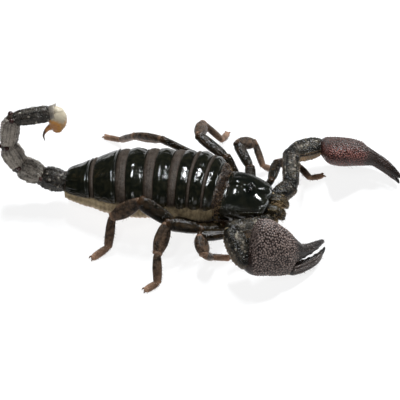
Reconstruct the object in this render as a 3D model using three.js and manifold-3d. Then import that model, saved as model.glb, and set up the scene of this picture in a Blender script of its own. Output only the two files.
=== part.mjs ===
// Emperor-type scorpion, a life-size still model standing on eight feet.
// Millimetres, +X towards the head, +Y to the animal's left, +Z up, feet on z = 0.
import * as THREE from 'three';
import { mergeVertices } from 'three/addons/utils/BufferGeometryUtils.js';
import Module from 'manifold-3d';

const wasm = await Module();
wasm.setup();

// ---------------------------------------------------------------- sizes
const GAP = 0.3;                      // clearance between neighbouring trunk pieces
const SOCKET = 0.42;                  // growth of a piece that hollows its neighbour
const BODY_SIDES = 24;                // facets around the trunk
const LIMB_SIDES = 10;                // facets around a limb segment
const FINE_SIDES = 8;                 // facets around a thin limb segment

// Trunk: centre height, half width and half height along X.
const TRUNK_HEIGHT = [[-45.6, 11.4], [-40, 11.8], [-34, 12.5], [-22, 13.4], [-11, 13.6], [4, 14.1], [13, 14.6], [22.1, 14.0]];
const TRUNK_WIDTH = [[-45.6, 6.6], [-43, 8.3], [-40, 9.7], [-35.7, 11.7], [-31.3, 13.5], [-26.8, 15.3], [-22.3, 16.8],
  [-17.9, 17.4], [-11, 17.8], [4, 18.0], [13, 17.8], [18, 17.0], [22.1, 15.2]];
const TRUNK_DEPTH = [[-45.6, 4.9], [-43, 5.5], [-40, 6.0], [-35.7, 7.2], [-31.3, 8.3], [-26.8, 9.3], [-22.3, 10.1],
  [-17.9, 10.5], [-11, 10.7], [4, 10.9], [13, 10.8], [18, 10.3], [22.1, 9.3]];
const TRUNK_SQUARENESS = 2.25;
const PLATE_HALF_ANGLE = 76;          // degrees from the top to a back plate's side edge
const PLATE_RISE = 0.75;              // a back plate's rear edge above the soft skin
const BELLY_RISE = 0.35;              // a belly plate above the soft skin

// Back plates from the head end: segment ends, then plate ends, all along X.
const TRUNK_SEGMENTS = [
  { name: 'mesosoma_1', from: 16.2, to: 22.1, plate: [16.9, 21.7] },
  { name: 'mesosoma_2', from: 9.4, to: 16.2, plate: [10.2, 15.6] },
  { name: 'mesosoma_3', from: 2.2, to: 9.4, plate: [3.8, 8.8] },
  { name: 'mesosoma_4', from: -8.8, to: 2.2, plate: [-6.8, 0.1] },
  { name: 'mesosoma_5', from: -21.2, to: -8.8, plate: [-19.1, -11.1] },
  { name: 'mesosoma_6', from: -34.3, to: -21.2, plate: [-33.2, -23.4] },
  { name: 'mesosoma_7', from: -45.6, to: -34.3, plate: [-45.2, -35.0] },
];

// Head shield, in its own frame: centre on the trunk line at X = 33.
const HEAD_X = 33;
const SHIELD_REAR = -10.78;
const SHIELD_FRONT = 11.7;
const SHIELD_EDGE_HEIGHT = 11.4;      // height of the shield's side edge
const SHIELD_TOP = [[-10.8, 19.6], [-5, 20.0], [1, 19.6], [6, 18.2], [11.7, 15.4]];
const SHIELD_WIDTH = [[-10.8, 12.9], [-5, 13.1], [1, 12.7], [6, 11.3], [11.7, 9.2]];
const EYE_X = 2.6;                    // median eyes along the shield
const EYE_SPREAD = 1.5;
const EYE_RADIUS = 0.85;

// Walking legs: five points from the knee to the toe, in the standing frame.
const LEGS = {
  right_1: { hip: [5, -9.3], turn: [5.4, -12.4], size: 0.84,
    points: [[35.5, -20, 8.3], [43.5, -22.6, 6.8], [50.5, -20.6, 4.4], [55, -18.2, 2.1], [58.6, -15.8, 0.6]] },
  right_2: { hip: [-0.5, -10.6], turn: [-0.6, -13.8], size: 0.93, shinGirth: 1.2,
    points: [[28.1, -19.3, 10], [17.9, -25.2, 13], [20.9, -32.4, 9.5], [23.0, -27.1, 3.0], [29.9, -24.2, 0.6]] },
  right_3: { hip: [-6.3, -11.2], turn: [-7, -14.6], size: 1.02,
    points: [[17, -20.0, 11.8], [3.6, -24.8, 17.4], [1.5, -35.8, 10], [3.3, -44.9, 2.2], [-1, -48.2, 0.6]] },
  right_4: { hip: [-11.8, -11.4], turn: [-13.8, -15.2], size: 1.05, kneeGirth: 1.2,
    points: [[4.9, -19.8, 13.6], [-9.2, -17.0, 20.8], [-21, -20.8, 13], [-21.3, -29, 3.0], [-26.8, -34.2, 0.6]] },
  left_1: { hip: [5, 9.3], turn: [6, 12.2], size: 0.84,
    points: [[42.5, 15.6, 11], [43.2, 28.9, 9.5], [52.8, 33.2, 4.5], [58.3, 29.1, 2.0], [63.4, 32.7, 0.6]] },
  left_2: { hip: [-0.5, 10.6], turn: [-0.5, 14.2], size: 0.9,
    points: [[32, 22.6, 10.5], [24.7, 31.6, 15.6], [31.9, 37.9, 11], [36.8, 30.4, 4.6], [40.2, 33.2, 0.6]] },
  left_3: { hip: [-6.3, 11.2], turn: [-7, 15.2], size: 0.94,
    points: [[21, 24, 13.5], [7.1, 32.2, 16.8], [7.1, 45.2, 12.4], [15.7, 45.6, 3.2], [16.9, 52.8, 0.6]] },
  left_4: { hip: [-11.8, 11.4], turn: [-13.6, 15.6], size: 0.96,
    points: [[8.6, 25.4, 10.2], [-8.6, 27.2, 16.5], [-22.3, 31.9, 12.0], [-29.8, 38.0, 2.9], [-37.8, 41, 0.6]] },
};
const HIP_HEIGHT = 6.0;
const TURN_HEIGHT = 7.2;
// Limb profiles: fraction of the length, half depth in the bending plane, half thickness across it.
const TROCHANTER = [[0, 1.9, 1.8], [0.5, 2.3, 2.0], [1, 2.2, 1.8]];
const FEMUR = [[0, 2.0, 1.6], [0.3, 2.5, 1.75], [0.7, 2.6, 1.8], [1, 2.3, 1.7]];
const PATELLA = [[0, 1.8, 1.6], [0.3, 2.5, 1.8], [0.7, 2.7, 1.8], [1, 2.1, 1.65]];
const TIBIA = [[0, 1.8, 1.55], [0.32, 3.05, 1.85], [0.64, 3.25, 1.85], [1, 1.9, 1.5]];
const BASITARSUS = [[0, 1.6, 1.3], [0.5, 2.05, 1.5], [1, 1.6, 1.25]];
const TARSUS = [[0, 1.35, 1.15], [0.5, 1.5, 1.2], [1, 1.05, 0.95]];
const TOE_CLAW_LENGTH = 2.3;
const TOE_CLAW_RADIUS = 0.42;

// Pincer arms: points from the coxa to the finger tip.
const ARMS = {
  right: { coxa: [11.0, -7.4, 8.4], points: [[42.5, -13.2, 11.5], [30.7, -25.3, 18.5], [39.9, -37.1, 12.5], [69.2, -13.3, 7.0]],
    inward: [0, 0.6, 0.79], plump: 1, gape: 0, drop: 0, splay: 0 },
  left: { coxa: [12.0, 7.2, 8.6], points: [[51.5, 13.6, 10.4], [49.1, 30.8, 14], [61.1, 41.0, 11.0], [97.2, 33.2, 5.5]],
    inward: [0, -0.85, 0.52], plump: 0.93, gape: 5, drop: 1.2, splay: 0.09 },
};
const ARM_TROCHANTER = [[0, 3.2, 3.1], [0.5, 3.9, 3.6], [1, 3.5, 3.1]];
const ARM_FEMUR = [[0, 3.0, 2.8], [0.3, 3.6, 3.1], [0.75, 3.8, 3.2], [1, 3.3, 3.0]];
const ARM_PATELLA = [[0, 3.1, 2.9], [0.3, 4.5, 3.6], [0.7, 4.7, 3.7], [1, 3.3, 3.0]];
// Palm and fixed finger: distance from the wrist, inner edge, outer edge, half thickness.
const PALM = [[-1.2, 2.0, -2.6, 2.2], [0.4, 3.8, -4.2, 3.7], [2.2, 7.2, -5.0, 4.7], [4.2, 14.0, -5.6, 5.4],
  [6.4, 17.2, -6.0, 5.9], [10, 17.6, -6.6, 6.2], [14, 15.6, -7.1, 6.0], [18, 12.2, -6.7, 5.2],
  [20.4, 9.7, -3.6, 4.5], [23, 6.7, -2.6, 3.7], [26, 3.9, -1.7, 3.0],
  [31, 3.6, -0.5, 2.4], [35.6, 3.4, 1.3, 1.4]];
const PALM_TIP = [37.6, 2.3];
// Movable finger: distance from the wrist, middle, half width, half thickness.
const FINGER = [[16.6, -5.3, 1.4, 1.8], [18.8, -5.7, 2.4, 2.8], [22, -5.7, 2.6, 2.9], [26, -5.4, 2.5, 2.6],
  [30, -4.8, 2.2, 2.3], [33.4, -3.7, 1.8, 1.8], [36, -2.3, 1.15, 1.2]];
const FINGER_TIP = [37.9, -0.6];
// The fingers curl to the lower face beyond this distance, by this much per square millimetre.
const CURL_FROM = 13;
const CURL = 0.013;

// Tail: joints from the trunk to the sting, and half height and half width of its five rings.
const TAIL_POINTS = [[-45.3, -2.4, 11.5], [-55.8, -2.6, 14.3], [-65.5, -2.2, 18.3], [-71.2, 0.4, 26.4],
  [-69.7, 5.1, 38.7], [-52.2, 9.0, 41.5]];
const TAIL_SIZES = [[4.7, 5.2], [4.8, 4.9], [4.4, 4.5], [3.8, 3.9], [3.35, 3.6]];
const TAIL_PROFILE = [[0, 0.84], [0.16, 0.98], [0.5, 1.0], [0.86, 1.03], [1, 0.9]];
const TAIL_SIDES = 16;
const KEEL_RISE = 0.055;
const VESICLE = { from: [-50.0, 9.7, 42.7], to: [-50.1, 6.6, 34.4], radius: 3.9 };
const STING_POINTS = [[-50.6, 7.2, 36.2], [-53.2, 6.9, 35.2], [-55.3, 6.2, 33.2], [-56.2, 5.4, 30.9], [-55.6, 4.7, 28.6]];
const STING_RADII = [2.3, 1.7, 1.1, 0.7, 0.3];

const COMB_TEETH = 9;                 // teeth of each pectine

// ---------------------------------------------------------------- maths helpers
const vec = (x, y, z) => new THREE.Vector3(x, y, z);
const point = (list) => vec(list[0], list[1], list[2]);
const signedPower = (value, power) => Math.sign(value) * Math.abs(value) ** power;
const smooth = (edge0, edge1, x) => THREE.MathUtils.smoothstep(x, edge0, edge1);

// Smooth value from a table of [x, value] rows.
function along(table, x, column = 1) {
  const last = table.length - 1;
  if (x <= table[0][0]) {
    return table[0][column];
  }
  if (x >= table[last][0]) {
    return table[last][column];
  }
  let i = 0;
  while (x > table[i + 1][0]) {
    i += 1;
  }
  const slope = (k) => {
    const a = Math.max(k - 1, 0);
    const b = Math.min(k + 1, last);
    return (table[b][column] - table[a][column]) / (table[b][0] - table[a][0]);
  };
  const span = table[i + 1][0] - table[i][0];
  const t = (x - table[i][0]) / span;
  const t2 = t * t;
  const t3 = t2 * t;
  return (2 * t3 - 3 * t2 + 1) * table[i][column] + (t3 - 2 * t2 + t) * span * slope(i)
    + (-2 * t3 + 3 * t2) * table[i + 1][column] + (t3 - t2) * span * slope(i + 1);
}

// ---------------------------------------------------------------- solids
// Closed skin through rings of equal count, ended by two points.
function skin(rings, startPoint, endPoint) {
  const count = rings[0].length;
  const positions = [];
  const indices = [];
  rings.forEach((ring) => ring.forEach((p) => positions.push(p.x, p.y, p.z)));
  for (let i = 0; i + 1 < rings.length; i += 1) {
    for (let j = 0; j < count; j += 1) {
      const k = (j + 1) % count;
      const a = i * count + j;
      const b = i * count + k;
      const c = (i + 1) * count + j;
      const d = (i + 1) * count + k;
      indices.push(a, b, d, a, d, c);
    }
  }
  const first = rings.length * count;
  positions.push(startPoint.x, startPoint.y, startPoint.z, endPoint.x, endPoint.y, endPoint.z);
  const base = (rings.length - 1) * count;
  for (let j = 0; j < count; j += 1) {
    const k = (j + 1) % count;
    indices.push(first, k, j);
    indices.push(first + 1, base + j, base + k);
  }
  const geometry = new THREE.BufferGeometry();
  geometry.setAttribute('position', new THREE.Float32BufferAttribute(positions, 3));
  geometry.setIndex(indices);
  return turnOutward(geometry);
}

function turnOutward(geometry) {
  const p = geometry.getAttribute('position');
  const index = geometry.getIndex().array;
  let volume = 0;
  const a = new THREE.Vector3();
  const b = new THREE.Vector3();
  const c = new THREE.Vector3();
  for (let i = 0; i < index.length; i += 3) {
    a.fromBufferAttribute(p, index[i]);
    b.fromBufferAttribute(p, index[i + 1]);
    c.fromBufferAttribute(p, index[i + 2]);
    volume += a.dot(b.cross(c));
  }
  if (volume < 0) {
    for (let i = 0; i < index.length; i += 3) {
      const swap = index[i + 1];
      index[i + 1] = index[i + 2];
      index[i + 2] = swap;
    }
  }
  return geometry;
}

function toSolid(geometry) {
  const plain = geometry.clone();
  plain.deleteAttribute('normal');
  plain.deleteAttribute('uv');
  const merged = mergeVertices(plain, 1e-4);
  return new wasm.Manifold(new wasm.Mesh({
    numProp: 3,
    vertProperties: new Float32Array(merged.getAttribute('position').array),
    triVerts: new Uint32Array(merged.getIndex().array),
  }));
}

// Largest closed surface of a solid, as a geometry.
function toGeometry(solid) {
  const pieces = solid.decompose();
  pieces.sort((a, b) => b.volume() - a.volume());
  const mesh = pieces[0].getMesh();
  const geometry = new THREE.BufferGeometry();
  const positions = [];
  for (let i = 0; i < mesh.vertProperties.length; i += mesh.numProp) {
    positions.push(mesh.vertProperties[i], mesh.vertProperties[i + 1], mesh.vertProperties[i + 2]);
  }
  geometry.setAttribute('position', new THREE.Float32BufferAttribute(positions, 3));
  geometry.setIndex(Array.from(mesh.triVerts));
  return geometry;
}

const join = (solids) => solids.reduce((sum, solid) => sum.add(solid));
const cut = (solid, tools) => tools.reduce((rest, tool) => rest.subtract(tool), solid);

// Ring of points around a centre, with half sizes along u and v.
function ring(centre, u, v, a, b, sides, squareness = 2, ridge = 0, ridges = 0) {
  const list = [];
  for (let j = 0; j < sides; j += 1) {
    const angle = (2 * Math.PI * j) / sides;
    const swell = 1 + ridge * Math.cos(ridges * angle);
    const x = a * swell * signedPower(Math.cos(angle), 2 / squareness);
    const y = b * swell * signedPower(Math.sin(angle), 2 / squareness);
    list.push(centre.clone().addScaledVector(u, x).addScaledVector(v, y));
  }
  return list;
}

// Straight limb segment with rounded ends. The profile gives half sizes along the length.
function segment(start, end, bend, profile, options = {}) {
  const { grow = 0, sides = LIMB_SIDES, dome = 0.5, scale = 1, squareness = 2.2, ridge = 0, round = true } = options;
  const way = end.clone().sub(start);
  const length = way.length();
  way.normalize();
  const v = bend.clone().addScaledVector(way, -bend.dot(way)).normalize();
  const u = v.clone().cross(way).normalize();
  const rings = [];
  const at = (row, advance, factor) => {
    const centre = start.clone().addScaledVector(way, row[0] * length + advance);
    return ring(centre, u, v, (row[1] * scale + grow) * factor, (row[2] * scale + grow) * factor,
      sides, squareness, ridge, sides / 2);
  };
  const first = profile[0];
  const last = profile[profile.length - 1];
  const domeStart = first[1] * scale * dome + grow;
  const domeEnd = last[1] * scale * dome + grow;
  if (round) {
    rings.push(at(first, -domeStart * Math.sin(0.9), Math.cos(0.9)));
  }
  profile.forEach((row) => rings.push(at(row, 0, 1)));
  if (round) {
    rings.push(at(last, domeEnd * Math.sin(0.9), Math.cos(0.9)));
  }
  return toSolid(skin(rings, start.clone().addScaledVector(way, -domeStart), end.clone().addScaledVector(way, domeEnd)));
}

// Round tube of changing radius through a list of points.
function taper(points, radii, sides, grow = 0) {
  const rings = points.map((p, i) => {
    const before = points[Math.max(i - 1, 0)];
    const after = points[Math.min(i + 1, points.length - 1)];
    const way = after.clone().sub(before).normalize();
    const side = Math.abs(way.z) > 0.9 ? vec(1, 0, 0) : vec(0, 0, 1);
    const v = side.clone().cross(way).normalize();
    const u = v.clone().cross(way).normalize();
    return ring(p, u, v, radii[i] + grow, radii[i] + grow, sides);
  });
  return toSolid(skin(rings, points[0], points[points.length - 1]));
}

// ---------------------------------------------------------------- trunk line
const headingAt = (x) => {
  const t = THREE.MathUtils.clamp((x + 15) / 36, 0, 1);
  return THREE.MathUtils.degToRad(7 - 11.5 * t);
};
function lineY(x) {
  const steps = 90;
  const from = -45.6;
  let y = -2.6;
  for (let i = 0; i < steps; i += 1) {
    const middle = from + ((i + 0.5) * (x - from)) / steps;
    y += (Math.tan(headingAt(middle)) * (x - from)) / steps;
  }
  return y;
}
function trunkFrame(x) {
  const heading = headingAt(x);
  return {
    centre: vec(x, lineY(x), 0),
    forward: vec(Math.cos(heading), Math.sin(heading), 0),
    left: vec(-Math.sin(heading), Math.cos(heading), 0),
  };
}
const HEAD = trunkFrame(HEAD_X);
const inHead = (x, y, z) => HEAD.centre.clone().addScaledVector(HEAD.forward, x)
  .addScaledVector(HEAD.left, y).setZ(z);

// One full section of the trunk: raised back plate, soft flank, belly plate.
function trunkSegment(row, grow = 0) {
  const [plateRear, plateFront] = row.plate;
  const start = row.from + GAP / 2 - grow;
  const end = row.to - GAP / 2 + grow;
  const length = plateFront - plateRear;
  const stations = [[start, 0], [plateRear - 0.35, 0], [plateRear + 0.1, 1], [plateRear + 0.35 * length, 0.8],
    [plateFront - 0.2 * length, 0.45], [plateFront, 0], [end, 0]].filter(([x], i, all) => {
    const inside = x > start + 0.3 && x < end - 0.3;
    return i === 0 || i === all.length - 1 || inside;
  });
  stations[0][1] = plateRear - row.from < 0.5 ? 0.9 : 0;
  const rings = stations.map(([x, rise]) => {
    const frame = trunkFrame(x);
    const height = along(TRUNK_HEIGHT, x);
    const list = [];
    for (let j = 0; j < BODY_SIDES; j += 1) {
      const angle = (2 * Math.PI * (j + 0.5)) / BODY_SIDES;
      const fromTop = Math.abs(THREE.MathUtils.radToDeg(angle) - 180);
      const top = 180 - fromTop;
      const plate = 1 - smooth(PLATE_HALF_ANGLE - 4, PLATE_HALF_ANGLE + 4, top);
      const belly = smooth(128, 136, top);
      const lift = grow - 0.25 + PLATE_RISE * rise * plate + BELLY_RISE * rise * belly;
      const a = along(TRUNK_WIDTH, x) + lift;
      const b = along(TRUNK_DEPTH, x) + lift;
      const y = a * signedPower(Math.sin(angle), 2 / TRUNK_SQUARENESS);
      const z = b * signedPower(Math.cos(angle), 2 / TRUNK_SQUARENESS);
      list.push(frame.centre.clone().addScaledVector(frame.left, y).setZ(height + z));
    }
    return list;
  });
  const cap = (x) => {
    const frame = trunkFrame(x);
    return frame.centre.clone().setZ(along(TRUNK_HEIGHT, x));
  };
  return toSolid(skin(rings, cap(start), cap(end)));
}

// ---------------------------------------------------------------- head shield
// Front margin: a middle notch between two rounded lobes, with corners set back.
const shieldFront = (y) => SHIELD_FRONT - 1.5 * Math.exp(-((y / 1.5) ** 2)) - 0.02 * Math.abs(y) ** 2.1;
function shieldSurface(x, y) {
  const width = along(SHIELD_WIDTH, x);
  const top = along(SHIELD_TOP, x);
  const across = Math.min(Math.abs(y) / width, 1);
  const arch = (1 - across ** 2.7) ** (1 / 2.7);
  const hump = 0.9 * Math.exp(-(((x - EYE_X) / 2.6) ** 2) - ((y / 2.3) ** 2));
  const furrow = -0.7 * Math.exp(-((y / 1.1) ** 2)) * smooth(1, -2, x);
  const frontFurrow = -0.5 * Math.exp(-((y / 1.2) ** 2)) * smooth(5, 8, x);
  return SHIELD_EDGE_HEIGHT + (top - SHIELD_EDGE_HEIGHT) * arch + hump + furrow + frontFurrow;
}
const SHIELD_ACROSS = 18;
const SHIELD_ROWS = [0, 0.12, 0.26, 0.4, 0.52, 0.62, 0.72, 0.84, 0.94, 1];
function headShield(grow = 0) {
  const rings = SHIELD_ROWS.map((row) => {
    const list = [];
    for (let j = 0; j <= SHIELD_ACROSS; j += 1) {
      const spread = -Math.cos((Math.PI * j) / SHIELD_ACROSS);
      const rough = THREE.MathUtils.lerp(SHIELD_REAR, SHIELD_FRONT, row);
      const width = along(SHIELD_WIDTH, rough);
      const y = spread * 0.999 * width;
      const x = THREE.MathUtils.lerp(SHIELD_REAR - grow, shieldFront(y) + grow, row);
      list.push(inHead(x, spread * (width + grow), shieldSurface(x, y) + grow));
    }
    const low = SHIELD_EDGE_HEIGHT - 0.9 - grow;
    for (let j = 0; j <= 6; j += 1) {
      const spread = Math.cos((Math.PI * j) / 6);
      const rough = THREE.MathUtils.lerp(SHIELD_REAR, SHIELD_FRONT, row);
      const width = along(SHIELD_WIDTH, rough);
      const y = spread * width;
      const x = THREE.MathUtils.lerp(SHIELD_REAR - grow, shieldFront(y) + grow, row);
      list.push(inHead(x, spread * (width + grow - 0.15), low));
    }
    return list;
  });
  const middle = SHIELD_EDGE_HEIGHT + 1.5;
  return toSolid(skin(rings, inHead(SHIELD_REAR - grow, 0, middle), inHead(shieldFront(0) + grow, 0, middle)));
}

function eyeBall(side, grow = 0) {
  const ball = new THREE.SphereGeometry(EYE_RADIUS + grow, 9, 6);
  const height = shieldSurface(EYE_X, EYE_SPREAD) + 0.12;
  const centre = inHead(EYE_X, side * EYE_SPREAD, height);
  ball.translate(centre.x, centre.y, centre.z);
  return toSolid(ball);
}

// ---------------------------------------------------------------- mouth pincers
function chelicera(side) {
  const sideways = vec(0, 0, 1);
  const base = inHead(9.6, side * 3.1, 11.2);
  const knuckle = inHead(15.0, side * 3.3, 11.0);
  const body = segment(base, knuckle, sideways, [[0, 2.5, 2.6], [0.5, 2.75, 2.9], [1, 2.2, 2.4]], { dome: 0.5, sides: FINE_SIDES });
  const inner = taper([inHead(14.8, side * 2.3, 11.3), inHead(16.8, side * 1.9, 11.0), inHead(18.2, side * 2.2, 10.2),
    inHead(18.8, side * 2.9, 9.4)], [1.5, 1.1, 0.7, 0.35], 5);
  const outer = taper([inHead(14.8, side * 4.3, 10.8), inHead(16.9, side * 4.7, 10.2), inHead(18.4, side * 4.2, 9.4),
    inHead(19.0, side * 3.6, 8.8)], [1.4, 1.05, 0.7, 0.35], 5);
  return join([body, inner, outer]);
}

// ---------------------------------------------------------------- legs
function bendsOf(points) {
  const ways = [];
  for (let i = 0; i + 1 < points.length; i += 1) {
    ways.push(points[i + 1].clone().sub(points[i]).normalize());
  }
  const turns = [];
  for (let i = 0; i + 1 < ways.length; i += 1) {
    const turn = ways[i].clone().cross(ways[i + 1]);
    if (i > 0 && turn.dot(turns[i - 1]) < 0) {
      turn.negate();
    }
    turns.push(turn);
  }
  return ways.map((way, i) => {
    const before = turns[Math.max(i - 1, 0)];
    const after = turns[Math.min(i, turns.length - 1)];
    return before.clone().add(after);
  });
}
function legParts(key) {
  const leg = LEGS[key];
  const hip = inHead(leg.hip[0], leg.hip[1], HIP_HEIGHT);
  const turn = inHead(leg.turn[0], leg.turn[1], TURN_HEIGHT);
  const points = [hip, turn, ...leg.points.map(point)];
  const bends = bendsOf(points);
  const limb = (i, profile, options = {}) => segment(points[i], points[i + 1], bends[i], profile,
    { scale: leg.size, ...options });
  const femur = (grow) => join([limb(0, TROCHANTER, { grow, sides: FINE_SIDES, round: false }),
    limb(1, FEMUR, { grow, sides: FINE_SIDES })]);
  const patella = (grow) => limb(2, PATELLA, { grow, sides: FINE_SIDES, scale: leg.size * (leg.kneeGirth ?? 1) });
  const toe = points[6];
  const way = toe.clone().sub(points[5]).setZ(0).normalize();
  const aside = vec(-way.y, way.x, 0);
  const claws = [-1, 1].map((side) => {
    const root = toe.clone().addScaledVector(way, -0.2).addScaledVector(aside, 0.35 * side).setZ(0.95);
    const middle = toe.clone().addScaledVector(way, 0.6 * TOE_CLAW_LENGTH).addScaledVector(aside, 0.95 * side).setZ(0.95);
    const tip = toe.clone().addScaledVector(way, TOE_CLAW_LENGTH).addScaledVector(aside, 1.0 * side).setZ(0.3);
    return taper([root, middle, tip], [TOE_CLAW_RADIUS + 0.1, TOE_CLAW_RADIUS, 0.26], 4);
  });
  const scale = leg.size * (leg.shinGirth ?? 1);
  const foot = join([limb(3, TIBIA, { dome: 0.4, round: false, scale }),
    limb(4, BASITARSUS, { sides: FINE_SIDES, dome: 0.4, round: false, scale }),
    limb(5, TARSUS, { sides: FINE_SIDES, dome: 0.4, round: false, scale }), ...claws]);
  return { femur, patella, foot };
}

// ---------------------------------------------------------------- pincer arms
const curl = (t) => -CURL * Math.max(t - CURL_FROM, 0) ** 2;
function clawFrame(side) {
  const arm = ARMS[side];
  const wrist = point(arm.points[2]);
  const tip = point(arm.points[3]);
  const [tipT, tipW] = PALM_TIP;
  const hand = side === 'right' ? 1 : -1;
  const forward = tip.clone().sub(wrist).normalize();
  const inward = new THREE.Vector3();
  const upface = new THREE.Vector3();
  for (let i = 0; i < 6; i += 1) {
    inward.copy(point(arm.inward));
    inward.addScaledVector(forward, -inward.dot(forward)).normalize();
    upface.copy(forward).cross(inward).multiplyScalar(hand);
    forward.copy(tip).sub(wrist).addScaledVector(inward, -tipW).addScaledVector(upface, -curl(tipT)).normalize();
  }
  return { wrist, forward, inward, upface };
}
const inClaw = (frame, t, w, h = 0) => frame.wrist.clone().addScaledVector(frame.forward, t)
  .addScaledVector(frame.inward, w).addScaledVector(frame.upface, h + curl(t));
const CLAW_SIDES = 14;
function palm(side, grow = 0) {
  const frame = clawFrame(side);
  const rings = PALM.map(([t, inner, outer, thick]) => ring(inClaw(frame, t, (inner + outer) / 2), frame.inward,
    frame.upface, (inner - outer) / 2 + grow, thick * ARMS[side].plump + grow, CLAW_SIDES, 2.15));
  return toSolid(skin(rings, inClaw(frame, PALM[0][0] - 0.9 - grow, 0), inClaw(frame, PALM_TIP[0] + grow, PALM_TIP[1])));
}
function finger(side, grow = 0) {
  const frame = clawFrame(side);
  const gape = THREE.MathUtils.degToRad(ARMS[side].gape);
  const { drop, splay } = ARMS[side];
  const hinge = FINGER[0];
  const swing = (t, w) => {
    const dt = t - hinge[0];
    const dw = w - hinge[1];
    return inClaw(frame, hinge[0] + dt * Math.cos(gape) - dw * Math.sin(gape),
      hinge[1] + dt * Math.sin(gape) + dw * Math.cos(gape), -drop - splay * dt);
  };
  const rings = FINGER.map(([t, w, wide, thick]) => ring(swing(t, w), frame.inward, frame.upface,
    wide + grow, thick + grow, 10, 2.1));
  return toSolid(skin(rings, swing(hinge[0] - 0.8 - grow, hinge[1]), swing(FINGER_TIP[0] + grow, FINGER_TIP[1])));
}
function armParts(side) {
  const arm = ARMS[side];
  const sign = side === 'right' ? -1 : 1;
  const coxaTip = inHead(arm.coxa[0], arm.coxa[1], arm.coxa[2]);
  const coxaRoot = inHead(1.5, sign * 4.8, 6.2);
  const points = [coxaRoot, coxaTip, ...arm.points.map(point)];
  const bends = bendsOf(points);
  const coxa = (grow) => join([
    segment(coxaRoot, coxaTip, vec(0, 0, 1), [[0, 2.6, 2.4], [0.5, 3.4, 2.9], [1, 3.6, 3.1]], { grow }),
    segment(inHead(9, sign * 5.6, 6.3), inHead(15.2, sign * 4.2, 6.2), vec(0, 0, 1), [[0, 2.2, 1.7], [1, 1.6, 1.4]],
      { grow, sides: FINE_SIDES }),
  ]);
  const limb = (i, profile) => (grow) => segment(points[i], points[i + 1], bends[i], profile, { grow, sides: 12 });
  return { coxa, trochanter: limb(1, ARM_TROCHANTER), femur: limb(2, ARM_FEMUR), patella: limb(3, ARM_PATELLA) };
}

// ---------------------------------------------------------------- underside of the head
function underside() {
  const floor = (x) => 3.4 + 0.012 * (x + 1) ** 2;
  const rows = [[-10.7, 11.4], [-4, 12.2], [3, 11.2], [8, 8.6]];
  const roof = SHIELD_EDGE_HEIGHT - 0.9 - GAP;
  const rings = rows.map(([x, width]) => {
    const list = [];
    const middle = (roof + floor(x)) / 2;
    ring(inHead(x, 0, middle), HEAD.left, vec(0, 0, 1), width, (roof - floor(x)) / 2, 16, 3.2)
      .forEach((p) => list.push(p));
    return list;
  });
  const solid = toSolid(skin(rings, inHead(-10.7, 0, 7), inHead(8, 0, 7)));
  const coxae = Object.values(LEGS).map((leg) => {
    const side = Math.sign(leg.hip[1]);
    return segment(inHead(leg.hip[0] * 0.55 + 1, side * 2.6, 4.6), inHead(leg.hip[0], leg.hip[1], HIP_HEIGHT),
      vec(0, 0, 1), [[0, 1.5, 1.5], [1, 2.5, 2.6]], { sides: 6, round: false });
  });
  return join([solid, ...coxae]);
}

// Comb organ behind the last hips, its bar following the belly sideways.
function pectine(side) {
  const bellyAt = (x, y) => {
    const frame = trunkFrame(x);
    const across = Math.min(Math.abs(y) / along(TRUNK_WIDTH, x), 0.98);
    return frame.centre.clone().addScaledVector(frame.left, y)
      .setZ(along(TRUNK_HEIGHT, x) - along(TRUNK_DEPTH, x) * (1 - across ** TRUNK_SQUARENESS) ** (1 / TRUNK_SQUARENESS));
  };
  const barPoints = [0, 0.5, 1].map((t) => bellyAt(18.6 - 4.2 * t, side * (1.6 + 10 * t)).add(vec(0, 0, -1.25)));
  const bar = taper(barPoints, [0.9, 0.8, 0.55], 6);
  const teeth = [];
  for (let i = 0; i < COMB_TEETH; i += 1) {
    const t = (i + 0.5) / COMB_TEETH;
    const root = bellyAt(18.3 - 4.2 * t, side * (1.6 + 10 * t)).add(vec(0, 0, -1.2));
    const tip = bellyAt(15.6 - 4.2 * t, side * (2.0 + 10 * t)).add(vec(0, 0, -1.0));
    teeth.push(taper([root, tip], [0.42, 0.36], 4));
  }
  return join([bar, ...teeth]);
}

// ---------------------------------------------------------------- tail
const tailPoints = TAIL_POINTS.map(point);
const tailAcross = tailPoints[1].clone().sub(tailPoints[0])
  .cross(tailPoints[4].clone().sub(tailPoints[3])).normalize();
function tailRing(i, grow = 0) {
  const [height, width] = TAIL_SIZES[i];
  const profile = TAIL_PROFILE.map(([t, f]) => [t, height * f, width * f]);
  return segment(tailPoints[i], tailPoints[i + 1], tailAcross, profile,
    { grow, sides: TAIL_SIDES, dome: 0.3, squareness: 2.2, ridge: KEEL_RISE, round: false });
}
function telson() {
  const from = point(VESICLE.from);
  const to = point(VESICLE.to);
  const oval = [[0, 0.62, 0.6], [0.22, 0.92, 0.88], [0.5, 1, 0.96], [0.78, 0.88, 0.86], [1, 0.55, 0.55]]
    .map(([t, a, b]) => [t, a * VESICLE.radius, b * VESICLE.radius]);
  const bulb = segment(from, to, tailAcross, oval, { sides: 12, dome: 0.55, squareness: 2 });
  const neck = taper([tailPoints[5].clone(), from.clone().lerp(to, 0.22)], [2.0, 2.6], 8);
  const sting = taper(STING_POINTS.map(point), STING_RADII, 7);
  return join([bulb, neck, sting]);
}

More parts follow.
